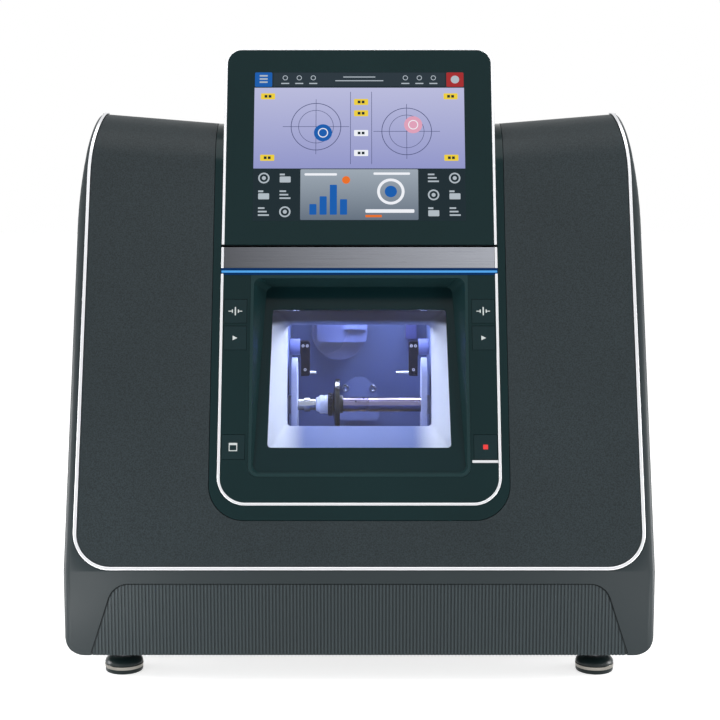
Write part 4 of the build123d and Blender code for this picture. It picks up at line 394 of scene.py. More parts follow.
# Machine casting and guide rods: a ribbed alloy deck bolted down on the pan, with the
# spindle's bearing pillars, and two ground rods that stand in it under their bridge.
cast_alloy = metal("cast_alloy", srgb(150, 152, 155), 0.5, scale=420.0, depth=0.12, spread=0.1)
ground_steel = metal("ground_steel", srgb(176, 178, 182), 0.22, brush=(1.0, 1.0, 12.0))
finish_node("machine_casting", cast_alloy)
true_up("guide_rods", "ground_guide_rods", "chassis", ground_steel, edge=0.5)

# Wheel drive: the motor in its saddle, the belt over both pulleys and the long spindle
# that carries the wheels through the tub.
motor_paint = moulding("motor_paint", srgb(44, 45, 48), 0.4, 500.0, 0.03)
belt_rubber = moulding("belt_rubber", srgb(26, 26, 27), 0.62, 800.0, 0.05)
turned_steel = metal("turned_steel", srgb(170, 172, 176), 0.26, brush=(12.0, 1.0, 1.0))
true_up("wheel_motor", "painted_wheel_motor", "chassis", motor_paint, edge=0.8)
finish_node("drive_belt", belt_rubber)
finish_node("motor_pulley", turned_steel)
finish_node("wheel_spindle", turned_steel)


def gritted(name, colour, grit, depth):
    """Sintered bronze with grit in it: a speckle of pale grains over a rough ground."""
    material, shader, output = new_material(name)
    tree = material.node_tree
    setup = {"Vector": object_place(tree), "Scale": grit}
    grains = add_node(tree, "ShaderNodeTexVoronoi", setup).outputs["Distance"]
    tone = add_node(tree, "ShaderNodeValToRGB", {"Fac": grains})
    pale, ground = tone.color_ramp.elements
    pale.position = 0.15
    pale.color = (0.75, 0.74, 0.7, 1.0)
    ground.position = 0.4
    ground.color = colour
    tree.links.new(tone.outputs["Color"], shader.inputs["Base Color"])
    emboss(tree, shader, grains, 0.5, depth)
    shader.inputs["Roughness"].default_value = 0.62
    shader.inputs["Metallic"].default_value = 0.45
    return material


wheel_grit = gritted("wheel_grit", srgb(132, 116, 88), 1400.0, 0.08)
true_up("grinding_wheels", "gritted_wheels", "spindle", wheel_grit, edge=0.0)

# Chamber tub: pale blue moulding that seals off the grinding space, with a flared mouth
# that the door closes, rails for the door and a drain in its floor.
tub_blue = moulding("tub_blue", srgb(92, 108, 160), 0.34, 260.0, 0.05, cloud=0.05, gloss=0.3)


def ramp(tree, source, start, end):
    """Number that runs from 0 to 1 while its source runs between two values."""
    span = {"Value": source, "From Min": start, "From Max": end}
    steps = add_node(tree, "ShaderNodeMapRange", span, interpolation_type="SMOOTHSTEP")
    return steps.outputs["Result"]


def overlay(tree, layers):
    """Lay colours over a finished material, each where its mask is 1."""
    shader = tree.nodes["Principled BSDF"]
    for colour, mask in layers:
        under = shader.inputs["Base Color"].links[0].from_socket
        layer = add_node(
            tree, "ShaderNodeMix", {"Factor": mask, "A": under, "B": colour}, data_type="RGBA"
        )
        tree.links.new(layer.outputs["Result"], shader.inputs["Base Color"])


tub_tree = tub_blue.node_tree
tub_axes = add_node(tub_tree, "ShaderNodeSeparateXYZ", {"Vector": object_place(tub_tree)}).outputs
to_side = add_node(
    tub_tree, "ShaderNodeMath", {0: tub_axes["X"]}, operation="ABSOLUTE"
).outputs[0]
# Painted light: the side walls of the mouth are painted near white where the chamber lamps light
# them.
painted_light_sides = arithmetic(
    tub_tree, "MULTIPLY",
    ramp(tub_tree, to_side, 0.05, 0.076),
    ramp(tub_tree, tub_axes["Y"], -0.1, -0.13),
)
# Painted shade: the top of the tub is painted dark blue where the ceiling shades it.
ceiling = ramp(tub_tree, tub_axes["Z"], 0.322, 0.328)
overlay(tub_tree, ((srgb(220, 224, 232), painted_light_sides), (srgb(14, 20, 50), ceiling)))
finish_node("chamber_tub", tub_blue)


def glowing(name, colour, strength):
    """Lit plastic: a plain emission over a faint gloss."""
    material, shader, output = new_material(name)
    shader.inputs["Base Color"].default_value = BLACK
    shader.inputs["Roughness"].default_value = 0.3
    shader.inputs["Emission Color"].default_value = colour
    shader.inputs["Emission Strength"].default_value = strength
    shader.inputs["Specular IOR Level"].default_value = 0.05
    return material


def bar(name, low, high, edge=0.0, segments=2):
    """Squared bar between two corners, in mm, with its edges broken."""
    bpy.ops.object.select_all(action="DESELECT")
    middle = [(a + b) / 2 * MM for a, b in zip(low, high)]
    bpy.ops.mesh.primitive_cube_add(size=1.0, location=middle)
    piece = bpy.context.object
    piece.name = name
    piece.scale = [(b - a) * MM for a, b in zip(low, high)]
    bpy.ops.object.transform_apply(location=True, rotation=True, scale=True)
    if edge:
        rounding = piece.modifiers.new("edge", "BEVEL")
        rounding.width = edge * MM
        rounding.segments = segments
        bpy.ops.object.modifier_apply(modifier="edge")
        bpy.ops.object.shade_smooth_by_angle(angle=radians(35.0))
    return piece


# Chamber lamps: two lit strips under the ceiling, one along each side wall, and the
# light that they throw on the walls and the lens.
lamp_white = glowing("lamp_white", srgb(214, 224, 255), 2.4)
LAMP_HALF_WIDTH = 4.0
for side, place in SIDES:
    lamp_x = side * 62.0
    strip = bar(
        "chamber_lamp_" + place,
        (lamp_x - LAMP_HALF_WIDTH, -60.0, 348.6),
        (lamp_x + LAMP_HALF_WIDTH, 18.0, 351.6),
        edge=0.8,
    )
    mount_piece(strip, "chassis", "display_glass", lamp_white)
chamber_light = soft_lamp(
    "chamber_light", (0.0, -0.05, 0.343), (0.0, -0.05, 0.1), 0.13, 0.08, 0.22
)
chamber_light.data.color = (0.72, 0.78, 1.0)
for side, place in SIDES:
    wash_aim = (side * 0.085, -0.18, 0.24)
    wash = soft_lamp(
        "wall_wash_" + place, (side * -0.03, -0.062, 0.344), wash_aim, 0.03, 0.03, 0.36
    )
    wash.data.color = (0.8, 0.86, 1.0)

# Splash plate and water nozzle: a pressed steel plate on two studs behind the lens, and
# the manifold with its jet on the back wall.
plate_blue = moulding("plate_blue", srgb(104, 118, 170), 0.34, 260.0, 0.05, cloud=0.05, gloss=0.4)
true_up("splash_plate", "pressed_splash_plate", "chassis", plate_blue, edge=0.3)
nozzle_blue = moulding("nozzle_blue", srgb(66, 72, 132), 0.3, 260.0, 0.03, cloud=0.05, gloss=0.4)
true_up("water_nozzle", "moulded_water_nozzle", "chassis", nozzle_blue, edge=0.6)
stud_profile = [
    (1.5, 0.2), (1.5, -0.5), (2.2, -0.9), (3.4, -0.9), (3.9, -0.5), (3.9, 0.2), (1.5, 0.2),
]
for side, place in SIDES:
    stud_centre = (side * 14.5, 8.0, 240.0)
    stud = turned("splash_stud_" + place, stud_profile, stud_centre, along="Y", steps=32)
    mount_piece(stud, "chassis", "steel", ground_steel)

# Carriage: machined beam on the guide rods with its two arms, the can of the chuck drive
# and the housing of the clamp drive.
machined_alloy = metal("machined_alloy", srgb(160, 162, 166), 0.34, scale=500.0, depth=0.02)
true_up("carriage_frame", "machined_carriage", "carriage", machined_alloy, edge=0.8)

# Arm shields: pale moulded plates that ride inside the tub with the carriage and close
# the slots that its arms come through.
shield_tone = moulding("shield_tone", srgb(172, 180, 214), 0.36, 300.0, 0.04, cloud=0.06)
true_up("arm_shields", "moulded_arm_shields", "carriage", shield_tone, edge=0.9)


def tube(name, start_x, end_x, y, z, radius, edge=0.3, steps=48):
    """Round bar along X between two planes, with both its rims broken."""
    half = [(0.0, start_x), (radius - edge, start_x), (radius, start_x + edge)]
    half += [(radius, end_x - edge), (radius - edge, end_x), (0.0, end_x)]
    return turned(name, half, (0.0, y, z), along="X", steps=steps)


def merge_pieces(name, parts):
    """Join finished meshes into one piece."""
    bpy.ops.object.select_all(action="DESELECT")
    for part in parts:
        part.select_set(True)
    bpy.context.view_layer.objects.active = parts[0]
    if len(parts) > 1:
        bpy.ops.object.join()
    parts[0].name = name
    return parts[0]


# Left chuck: ground shaft with a clamped collar, and the pale cup whose dark toothed
# ring grips the block of the lens.
true_up("left_chuck_shaft", "ground_left_shaft", "left_chuck", ground_steel, edge=0.4)
cup_pale = moulding("cup_pale", srgb(206, 214, 240), 0.3, 500.0, 0.02)
tooth_dark = moulding("tooth_dark", srgb(16, 15, 44), 0.34, 600.0, 0.03, gloss=0.12)
cup_profile = [
    (0.0, -43.9), (6.6, -43.9), (7.2, -43.4), (7.6, -41.6), (9.0, -40.2), (9.5, -39.4),
    (9.5, -36.4), (9.1, -36.1), (9.1, -35.5), (9.5, -35.2), (9.5, -32.2), (9.2, -31.9),
    (0.0, -31.9),
]
cup = turned("pale_block_cup", cup_profile, (0.0, CHUCK_Y, CHUCK_Z), along="X")
mount_piece(cup, "left_chuck", "cup", cup_pale, "block_cup")
ring_profile = [
    (0.0, -31.8), (10.2, -31.8), (10.6, -31.4), (10.6, -27.5), (10.2, -27.1), (0.0, -27.1),
]
ring = turned("block_ring", ring_profile, (0.0, CHUCK_Y, CHUCK_Z), along="X")
mount_piece(ring, "left_chuck", "cup", tooth_dark)
TOOTH_COUNT = 18
TOOTH_CIRCLE = 10.5
teeth = []
for tooth in range(TOOTH_COUNT):
    swing = 2 * pi * tooth / TOOTH_COUNT
    tooth_y = CHUCK_Y + TOOTH_CIRCLE * cos(swing)
    tooth_z = CHUCK_Z + TOOTH_CIRCLE * sin(swing)
    teeth.append(tube("tooth_" + str(tooth), -31.6, -27.2, tooth_y, tooth_z, 1.15, 0.3, 12))
mount_piece(merge_pieces("block_teeth", teeth), "left_chuck", "cup", tooth_dark)


def clear_material(name, colour, roughness, ior=1.45, gloss=0.3):
    """Clear moulding or glass with a faint tint."""
    material, shader, output = new_material(name)
    tree = material.node_tree
    wave = noise(tree, object_place(tree), 14.0, 2.0)
    smear = rescale(tree, wave, 0.0, 1.0, roughness, roughness + 0.02)
    tree.links.new(smear, shader.inputs["Roughness"])
    shader.inputs["Base Color"].default_value = colour
    shader.inputs["Transmission Weight"].default_value = 1.0
    shader.inputs["IOR"].default_value = ior
    shader.inputs["Specular IOR Level"].default_value = gloss
    return material


# Lens: a polished plastic blank with a ground rim, held by the round block that is
# stuck to its face, so that the window shows it nearly edge on.
# Painted shade: the clear lens is tinted deep indigo for the dark look it has edge on.
lens_painted_dark = clear_material("lens_painted_dark", srgb(8, 9, 34), 0.2, ior=1.5, gloss=0.12)
true_up("lens", "polished_lens", "left_chuck", lens_painted_dark, edge=0.0)

# Clamp quill and right chuck: the quill slides in its arm, and the chromed shaft that
# turns in it ends in a soft pad. Its head is clamped with three set screws.
# Painted reflection: the chrome's violet grey tint stands in for the blue chamber it reflects.
chrome = metal("chrome", srgb(132, 124, 150), 0.16, brush=(1.0, 14.0, 14.0), depth=0.003,
               spread=0.04)
pad_rubber = moulding("pad_rubber", srgb(40, 40, 46), 0.6, 600.0, 0.05)
true_up("clamp_quill", "ground_clamp_quill", "quill", ground_steel, edge=0.4)
right_profile = [
    (0.0, -16.6), (7.0, -16.6), (7.5, -16.1), (7.5, -0.6), (7.1, -0.2), (7.1, 0.4), (7.5, 0.8),
    (7.5, 7.6), (6.9, 8.2), (6.9, 8.8), (7.5, 9.4), (7.6, 9.6), (7.6, 156.2), (7.6, 156.3),
    (17.6, 156.4), (18.0, 156.8), (18.0, 160.9), (17.6, 161.3), (0.0, 161.3),
]
right_shaft = turned("chromed_shaft", right_profile, (0.0, CHUCK_Y, CHUCK_Z), along="X")
mount_piece(right_shaft, "right_chuck", "chrome", chrome, "right_chuck_shaft")
true_up("clamp_pad", "soft_clamp_pad", "right_chuck", pad_rubber, edge=0.0)
SHAFT_RADIUS = 7.62
SCREW_HALF_WIDTH = 0.9
for index, (screw_x, rise) in enumerate(((-3.6, 0.55), (4.4, 1.05), (5.2, -0.45))):
    screw_y = CHUCK_Y - SHAFT_RADIUS * cos(rise)
    screw_z = CHUCK_Z + SHAFT_RADIUS * sin(rise)
    screw = bar(
        "shaft_screw_" + str(index),
        (screw_x - SCREW_HALF_WIDTH, screw_y - 0.1, screw_z - SCREW_HALF_WIDTH),
        (screw_x + SCREW_HALF_WIDTH, screw_y + 0.6, screw_z + SCREW_HALF_WIDTH),
        edge=0.5,
        segments=4,
    )
    mount_piece(screw, "right_chuck", "pad", tooth_dark)

# Feelers: painted arms on their shafts, each with a bright stylus and two small screws.
feeler_black = moulding("feeler_black", srgb(8, 9, 34), 0.36, 500.0, 0.03, gloss=0.04)
boss_pale = moulding("boss_pale", srgb(116, 126, 180), 0.36, 300.0, 0.04, cloud=0.06, gloss=0.3)
stylus_bright = metal("stylus_bright", srgb(226, 230, 242), 0.14)
screw_grey = metal("screw_grey", srgb(206, 208, 226), 0.3)
true_up("left_feeler", "painted_left_feeler", "left_probe", feeler_black, edge=0.7)
true_up("right_feeler", "painted_right_feeler", "right_probe", feeler_black, edge=0.7)
FEELER_Y = -45.0
FEELER_FRONT_Y = -49.6
head_profile = [
    (0.7, -0.1), (0.7, -0.25), (1.3, -0.25), (1.5, 0.0), (1.5, 0.2), (0.7, 0.2), (0.7, -0.1),
]
for (side, place), reach in zip(SIDES, (6.2, 13.0)):
    probe = place + "_probe"
    tip_x = side * (51.0 - reach)
    cone = [(0.0, side * 51.4), (1.9, side * 51.4), (1.9, side * 50.2), (1.5, tip_x), (0.0, tip_x)]
    sleeve = turned(probe + "_stylus", cone, (0.0, FEELER_Y, 265.0), along="X", steps=24)
    mount_piece(sleeve, probe, "chrome", stylus_bright)
    boss_profile = [
        (8.06, side * 61.0), (8.3, side * 61.3), (8.3, side * 71.2), (8.06, side * 71.5),
        (7.8, side * 71.5), (7.8, side * 61.0), (8.06, side * 61.0),
    ]
    boss = turned(
        probe + "_boss_cover", boss_profile, (0.0, FEELER_Y, 292.0), along="X", steps=48
    )
    mount_piece(boss, probe, "shield", boss_pale)
    for index, (across, rise) in enumerate(((58.0, 293.4), (53.7, 293.4), (56.0, 268.6))):
        head_centre = (side * across, FEELER_FRONT_Y, rise)
        head = turned(
            probe + "_screw_" + str(index), head_profile, head_centre, along="Y", steps=24
        )
        mount_piece(head, probe, "chrome", screw_grey)

# Drill head: painted turret on the back wall with the drill motor's case across it, a
# bearing block and the small drill spindle with its chuck and bit.
drill_paint = moulding("drill_paint", srgb(66, 76, 122), 0.28, 420.0, 0.03)
true_up("drill_head", "painted_drill_head", "drill_turret", drill_paint, edge=0.9)
true_up("drill_bit", "ground_drill_bit", "drill_spindle", stylus_bright, edge=0.15)

# Sliding door: gloss black frame that runs in the rails of the tub, with a clear acrylic
# pane bonded into its window.
door_black = moulding("door_black", srgb(10, 33, 36), 0.16, 60.0, 0.004, cloud=0.05, gloss=0.14)
pane_clear = clear_material("pane_clear", srgb(236, 240, 250), 0.0, ior=1.3, gloss=0.2)
true_up("door_frame", "gloss_door_frame", "door", door_black, edge=0.5)
true_up("door_pane", "acrylic_door_pane", "door", pane_clear, edge=0.0)

# Front surround: satin grey moulding of the skirt and the two side strips, which roll
# round the edges of the front and curl over the shoulders.
strip_grey = moulding("strip_grey", srgb(28, 37, 40), 0.44, 1100.0, 0.03, cloud=0.04, gloss=0.27)
true_up("front_surround", "satin_front_surround", "chassis", strip_grey, edge=0.4)

# Ribbed panel: satin black moulding with upright ribs, let into the skirt from the front,
# with a painted shadow line round its edge.
rib_black = moulding("rib_black", srgb(50, 59, 62), 0.38, 900.0, 0.02, cloud=0.04, gloss=0.2)
true_up("ribbed_panel", "moulded_ribs", "chassis", rib_black, edge=0.25, segments=1)

# Front cover: charcoal moulding with a fine spark-eroded grain, one piece round the
# console with its two shoulders.
cover_grain = moulding("cover_grain", srgb(33, 41, 44), 0.5, 1500.0, 0.09, cloud=0.05, gloss=0.18,
                       speckle=0.3)
true_up("front_cover", "grained_front_cover", "chassis", cover_grain, edge=0.6)

# Front trim: bright satin strip of anodised alloy round the cover, glued into the gap
# beside the surround.
trim_satin = metal("trim_satin", srgb(222, 223, 226), 0.3, scale=900.0, depth=0.004, spread=0.04)
true_up("front_trim", "bright_front_trim", "chassis", trim_satin, edge=0.6,
        segments=3)

# Console: glossy black moulded surround with a bright line let into it, a glossy panel
# for the keys, and the bezel whose sloping reveals lead in to the door.
console_gloss = moulding("console_gloss", srgb(9, 32, 34), 0.2, 60.0, 0.004, cloud=0.06, gloss=0.14)
true_up("console_surround", "gloss_surround", "chassis", console_gloss, edge=0.5)
true_up("console_trim", "bright_console_line", "chassis", trim_satin, edge=0.5,
        segments=3)
finish_node("console_panel", console_gloss)
# Painted light: the bezel is the console's gloss black painted lighter for its shaded reveals.
bezel_gloss_painted_lighter = moulding("bezel_gloss_painted_lighter", srgb(24, 46, 48), 0.22, 60.0, 0.004, cloud=0.05, gloss=0.14)
true_up("door_bezel", "gloss_door_bezel", "chassis", bezel_gloss_painted_lighter, edge=0.4)


def lay_flat_piece(piece, slope):
    """Turn a piece drawn flat (across, up, out) onto the front, `slope` back from upright."""
    only(piece)
    piece.rotation_euler = (pi / 2 - slope, 0.0, 0.0)
    foot = LEAN_FOOT_Z if slope else 0.0
    piece.location = (0.0, FRONT_Y * MM, foot * MM)
    bpy.ops.object.transform_apply(location=True, rotation=True, scale=True)
    return piece


def lay_on_face(piece):
    """Turn a piece drawn flat onto the leaning front, its heights measured up the face."""
    return lay_flat_piece(piece, LEAN)


def slab(name, left, low, right, high, back, front, corner=0.0, segments=6):
    """Flat plate, drawn flat, whose four upright edges are rounded."""
    piece = bar(name, (left, low, back), (right, high, front))
    if corner:
        bpy.context.tool_settings.mesh_select_mode = (False, True, False)
        mesh = piece.data
        for part in (*mesh.vertices, *mesh.edges, *mesh.polygons):
            part.select = False
        for edge in mesh.edges:
            ends = [mesh.vertices[index].co for index in edge.vertices]
            edge.select = abs(ends[0].z - ends[1].z) > 0.5 * (front - back) * MM
        bpy.ops.object.mode_set(mode="EDIT")
        bpy.ops.mesh.bevel(offset=corner * MM, segments=segments, affect="EDGES")
        bpy.ops.object.mode_set(mode="OBJECT")
        bpy.ops.object.shade_smooth_by_angle(angle=radians(35.0))
    return piece


def wedge(name, points, back, front):
    """Flat plate with any straight-sided outline, drawn flat."""
    bpy.ops.object.select_all(action="DESELECT")
    bpy.ops.mesh.primitive_circle_add(
        vertices=len(points), radius=MM, fill_type="NGON", location=(0.0, 0.0, 0.0)
    )
    piece = bpy.context.object
    piece.name = name
    for vertex, (across, up) in zip(piece.data.vertices, points):
        vertex.co = (across * MM, up * MM, back * MM)
    bpy.ops.object.mode_set(mode="EDIT")
    bpy.ops.mesh.select_all(action="SELECT")
    bpy.ops.mesh.extrude_region_move(
        TRANSFORM_OT_translate={"value": (0.0, 0.0, (front - back) * MM)}
    )
    bpy.ops.mesh.select_all(action="SELECT")
    bpy.ops.mesh.normals_make_consistent(inside=False)
    bpy.ops.object.mode_set(mode="OBJECT")
    return piece


PANEL_FOOT_X = 251.0
PANEL_HEAD_X = 229.0
PANEL_TOP = 96.0
PANEL_ARCH_BOTTOM = 30.0


def panel_arch(grow, radius=20.0, steps=8):
    """Outline of the ribbed panel from one foot to the other, in mm, grown by a margin."""
    foot, head, top = PANEL_FOOT_X + grow, PANEL_HEAD_X + grow, PANEL_TOP + grow
    slant = atan2(foot - head, top - PANEL_ARCH_BOTTOM)
    reach = radius * tan((pi / 2 - slant) / 2)
    arc = []
    for step in range(steps + 1):
        angle = slant + (pi / 2 - slant) * step / steps
        arc.append((head - reach + radius * cos(angle), top - radius + radius * sin(angle)))
    left = [(-foot, PANEL_ARCH_BOTTOM)] + [(-across, up) for across, up in arc]
    return left + list(reversed(arc)) + [(foot, PANEL_ARCH_BOTTOM)]


# Panel gap shadow: painted shade, a thin black strip laid in the joint round the ribbed
# panel, level with the skirt's front.
painted_gap_shadow = moulding("painted_gap_shadow", srgb(4, 10, 12), 0.6, 900.0, 0.01, gloss=0.1)
gap_shadow_outline = panel_arch(0.9) + list(reversed(panel_arch(0.1)))
gap_shadow_strip = lay_flat_piece(wedge("ribbed_panel_gap_shadow", gap_shadow_outline, 0.0, 0.06), 0.0)
mount_piece(gap_shadow_strip, "chassis", "rib_black", painted_gap_shadow)


def disc(name, across, up, radius, back, front, hole=0.0, steps=32):
    """Flat disc or ring, drawn flat."""
    profile = [(hole, back), (radius, back), (radius, front), (hole, front)]
    if hole:
        profile.append((hole, back))
    return turned(name, profile, (across, up, 0.0), steps=steps)


# Keys: glossy black caps let into the panel over their switches, each with a printed
# symbol on its face, and a bright bar below the stop key.
key_gloss = moulding("key_gloss", srgb(14, 35, 38), 0.2, 60.0, 0.004, cloud=0.06, gloss=0.16)
print_grey = moulding("print_grey", srgb(186, 192, 192), 0.4, 900.0, 0.004, cloud=0.02)
print_red = moulding("print_red", srgb(206, 42, 40), 0.4, 900.0, 0.004, cloud=0.02)
key_bodies = {
    "left_clamp_key": "left_clamp",
    "left_start_key": "left_start",
    "door_key": "door_button",
    "right_clamp_key": "right_clamp",
    "right_start_key": "right_start",
    "stop_key": "stop",
}
for key_node, key_body in key_bodies.items():
    true_up(key_node, "cap_of_" + key_node, key_body, key_gloss, edge=0.0)
PRINT_BACK = -0.14
PRINT_FRONT = -0.05
KEY_X = 119.7


def printed(name, left, low, right, high, corner=0.0):
    """Flat printed mark on a key's face."""
    return slab(name, left, low, right, high, PRINT_BACK, PRINT_FRONT, corner)


for side, place in SIDES:
    middle = side * KEY_X
    symbol = [
        printed("clamp_bar", middle - 6.6, 251.45, middle - 3.4, 252.25),
        printed("clamp_bar", middle + 3.4, 251.45, middle + 6.6, 252.25),
        printed("clamp_jaw", middle - 3.4, 250.2, middle - 2.4, 253.5),
        printed("clamp_jaw", middle + 2.4, 250.2, middle + 3.4, 253.5),
        printed("clamp_lens", middle - 0.6, 247.6, middle + 0.6, 256.1, 0.55),
    ]
    piece = lay_on_face(merge_pieces(place + "_clamp_symbol", symbol))
    mount_piece(piece, place + "_clamp", "key_gloss", print_grey)
for side, place in SIDES:
    middle = side * KEY_X
    outline = [(middle - 2.2, 222.8), (middle + 2.4, 225.1), (middle - 2.2, 227.4)]
    piece = lay_on_face(wedge(place + "_start_symbol", outline, PRINT_BACK, PRINT_FRONT))
    mount_piece(piece, place + "_start", "key_gloss", print_grey)
window = [
    printed("frame_top", -123.7, 120.1, -115.7, 122.2),
    printed("frame_left", -123.7, 114.3, -122.9, 120.1),
    printed("frame_right", -116.5, 114.3, -115.7, 120.1),
    printed("frame_low", -122.9, 114.3, -116.5, 115.1),
]
piece = lay_on_face(merge_pieces("door_symbol", window))
mount_piece(piece, "door_button", "key_gloss", print_grey)
piece = lay_on_face(printed("stop_symbol", 117.4, 115.95, 122.0, 120.55, 0.4))
mount_piece(piece, "stop", "key_gloss", print_red)
piece = lay_on_face(slab("bright_key_line", 106.9, 102.9, 131.6, 105.4, -0.1, 0.5, 0.4))
mount_piece(piece, "chassis", "trim_silver", trim_satin)

# Name bar: brushed steel strip, left bare, with the strokes of the belt along it. Its
# colour is painted lighter towards its right end, a painted reflection.
name_steel = metal("name_steel", srgb(176, 179, 188), 0.3, brush=(0.006, 1.0, 1.0), scale=2600.0,
                   depth=0.01, spread=0.1)
name_tree = name_steel.node_tree
name_axes = add_node(name_tree, "ShaderNodeSeparateXYZ", {"Vector": object_place(name_tree)})
# Painted reflection: the base colour runs from dark at the left end to light at the right.
painted_reflection_ramp = rescale(name_tree, name_axes.outputs["X"], -0.13, 0.13, 0.2, 0.75)
name_colour = name_tree.nodes["Principled BSDF"].inputs["Base Color"]
painted_reflection_tone = tinted(name_tree, name_colour.links[0].from_socket, painted_reflection_ramp)
name_tree.links.new(painted_reflection_tone, name_colour)
true_up("name_bar", "brushed_name_bar", "chassis", name_steel, edge=0.3)

# Light bar: lit blue diffuser across the console, clipped in below the name bar, with a
# bright line along its middle and a dark lip under it.
light_edge = glowing("light_edge", srgb(0, 46, 94), 1.0)
light_core = glowing("light_core", srgb(84, 166, 236), 1.0)
true_up("light_bar", "blue_light_bar", "chassis", light_edge, edge=0.5)
core = lay_on_face(slab("bright_light_core", -133.9, 290.5, 133.9, 292.6, 0.5, 0.72, 0.8))
mount_piece(core, "chassis", "light_blue", light_core)
lip = lay_on_face(slab("light_bar_lip", -133.9, 288.3, 133.9, 289.8, 0.0, 0.4, 0.3))
mount_piece(lip, "chassis", "light_blue", light_edge)

# Display: textured back shell on two hinge pins, a bright rim clipped round it and one
# pane of black-bordered glass.
display_shell = moulding("display_shell", srgb(44, 48, 51), 0.5, 1300.0, 0.06, cloud=0.04)
true_up("display_housing", "grained_display_shell", "display", display_shell,
        edge=0.5)
true_up("display_rim", "bright_display_rim", "display", trim_satin, edge=0.6,
        segments=3)
display_black = moulding("display_black", srgb(12, 34, 36), 0.1, 20.0, 0.001, cloud=0.03,
                         gloss=0.14)
true_up("display_glass", "bordered_glass", "display", display_black, edge=0.15)
finish_node("lcd_panel", display_black)
finish_node("display_hinge_pins", ground_steel)


def lit_field(name, low_colour, high_colour, low, high):
    """Lit screen area whose tone shades evenly up the display between two heights, in mm."""
    material, shader, output = new_material(name)
    tree = material.node_tree
    axes = add_node(tree, "ShaderNodeSeparateXYZ", {"Vector": object_place(tree)}).outputs
    foot, head = ((LEAN_FOOT_Z + height * cos(LEAN)) * MM for height in (low, high))
    shade = rescale(tree, axes["Z"], foot, head, 0.0, 1.0)
    tone = add_node(
        tree, "ShaderNodeMix", {"Factor": shade, "A": low_colour, "B": high_colour},
        data_type="RGBA",
    )
    tree.links.new(tone.outputs["Result"], shader.inputs["Emission Color"])
    shader.inputs["Base Color"].default_value = BLACK
    shader.inputs["Roughness"].default_value = 0.3
    shader.inputs["Emission Strength"].default_value = 1.0
    shader.inputs["Specular IOR Level"].default_value = 0.1
    return material


def paint(name, parts, material):
    """Put a group of flat tiles on the screen of the display."""
    piece = lay_on_face(merge_pieces(name, parts))
    return mount_piece(piece, "display", "lcd", material)


SCREEN_FACE = -0.37
LAYER_STEP = 0.02
TILE_DEPTH = 0.06


def tile(left, low, right, high, layer, corner=0.0):
    """One flat tile of the screen picture; higher layers lie over lower ones."""
    front = SCREEN_FACE + LAYER_STEP * layer
    return slab("tile", left, low, right, high, front - TILE_DEPTH, front, corner)


def ring_line(across, up, radius, width, layer, steps=48):
    """Thin round outline on the screen."""
    front = SCREEN_FACE + LAYER_STEP * layer
    return disc("ring", across, up, radius, front - TILE_DEPTH, front, radius - width, steps)


def dot(across, up, radius, layer, steps=28):
    """Filled round spot on the screen."""
    front = SCREEN_FACE + LAYER_STEP * layer
    return disc("dot", across, up, radius, front - TILE_DEPTH, front, 0.0, steps)


# Screen picture: a generic work screen in plain tiles, with a dark bar on top, a pale
# field with two lens rings, and a grey strip of pictures between dark key columns.
screen_dark = glowing("screen_dark", srgb(30, 44, 50), 1.0)
screen_bar = glowing("screen_bar", srgb(42, 54, 62), 1.0)
screen_blue = glowing("screen_blue", srgb(22, 92, 172), 1.0)
screen_red = glowing("screen_red", srgb(164, 44, 46), 1.0)
screen_field = lit_field("screen_field", srgb(144, 149, 200), srgb(184, 186, 219), 398.0, 484.0)
screen_tiles = lit_field("screen_tiles", srgb(98, 110, 125), srgb(156, 167, 178), 344.0, 398.0)
screen_line = glowing("screen_line", srgb(72, 78, 118), 1.0)
screen_white = glowing("screen_white", srgb(238, 240, 246), 1.0)
screen_yellow = glowing("screen_yellow", srgb(236, 206, 62), 1.0)
screen_pink = glowing("screen_pink", srgb(222, 160, 184), 1.0)
screen_pale = glowing("screen_pale", srgb(176, 186, 194), 1.0)
screen_orange = glowing("screen_orange", srgb(232, 112, 40), 1.0)
paint("screen_ground", [tile(-104.5, 343.8, 104.5, 500.1, 0)], screen_dark)
paint("screen_top_bar", [tile(-85.6, 485.2, 85.6, 499.4, 1, 0.8)], screen_bar)
paint("screen_left_tab", [tile(-104.2, 484.4, -87.0, 499.8, 1, 1.2)], screen_blue)
paint("screen_right_tab", [tile(87.0, 484.4, 104.2, 499.8, 1, 1.2)], screen_red)
paint("screen_main_field", [tile(-104.5, 398.0, 104.5, 483.4, 1)], screen_field)
paint("screen_picture_strip", [tile(-58.0, 344.6, 58.0, 397.2, 1, 1.2)], screen_tiles)
marks = [
    tile(-99.6, 488.6, -91.6, 490.2, 2), tile(-99.6, 492.0, -91.6, 493.6, 2),
    tile(-99.6, 495.4, -91.6, 497.0, 2), dot(95.6, 492.2, 4.2, 2),
]
for across in (-74.0, -60.0, -46.0, 46.0, 60.0, 74.0):
    marks += [ring_line(across, 494.0, 2.6, 0.7, 2, 24)]
    marks += [tile(across - 4.0, 487.4, across + 4.0, 488.6, 2)]
marks += [tile(-24.0, 490.4, 24.0, 491.4, 2), tile(-16.0, 494.4, 16.0, 495.4, 2)]
paint("screen_bar_marks", marks, screen_pale)
outlines = []
for across, up in ((-43.0, 442.0), (47.0, 437.0)):
    outlines += [ring_line(across, up, 25.0, 0.7, 2, 64), ring_line(across, up, 17.5, 0.5, 2, 64)]
    outlines += [tile(across - 33.0, up - 0.25, across + 33.0, up + 0.25, 2)]
    outlines += [tile(across - 0.25, up - 29.0, across + 0.25, up + 29.0, 2)]
outlines += [tile(-9.0, 402.5, -8.5, 479.0, 2), tile(12.0, 402.5, 12.5, 479.0, 2)]
paint("screen_lens_rings", outlines, screen_line)
paint("screen_left_spot", [dot(-36.0, 435.5, 9.0, 3)], screen_blue)
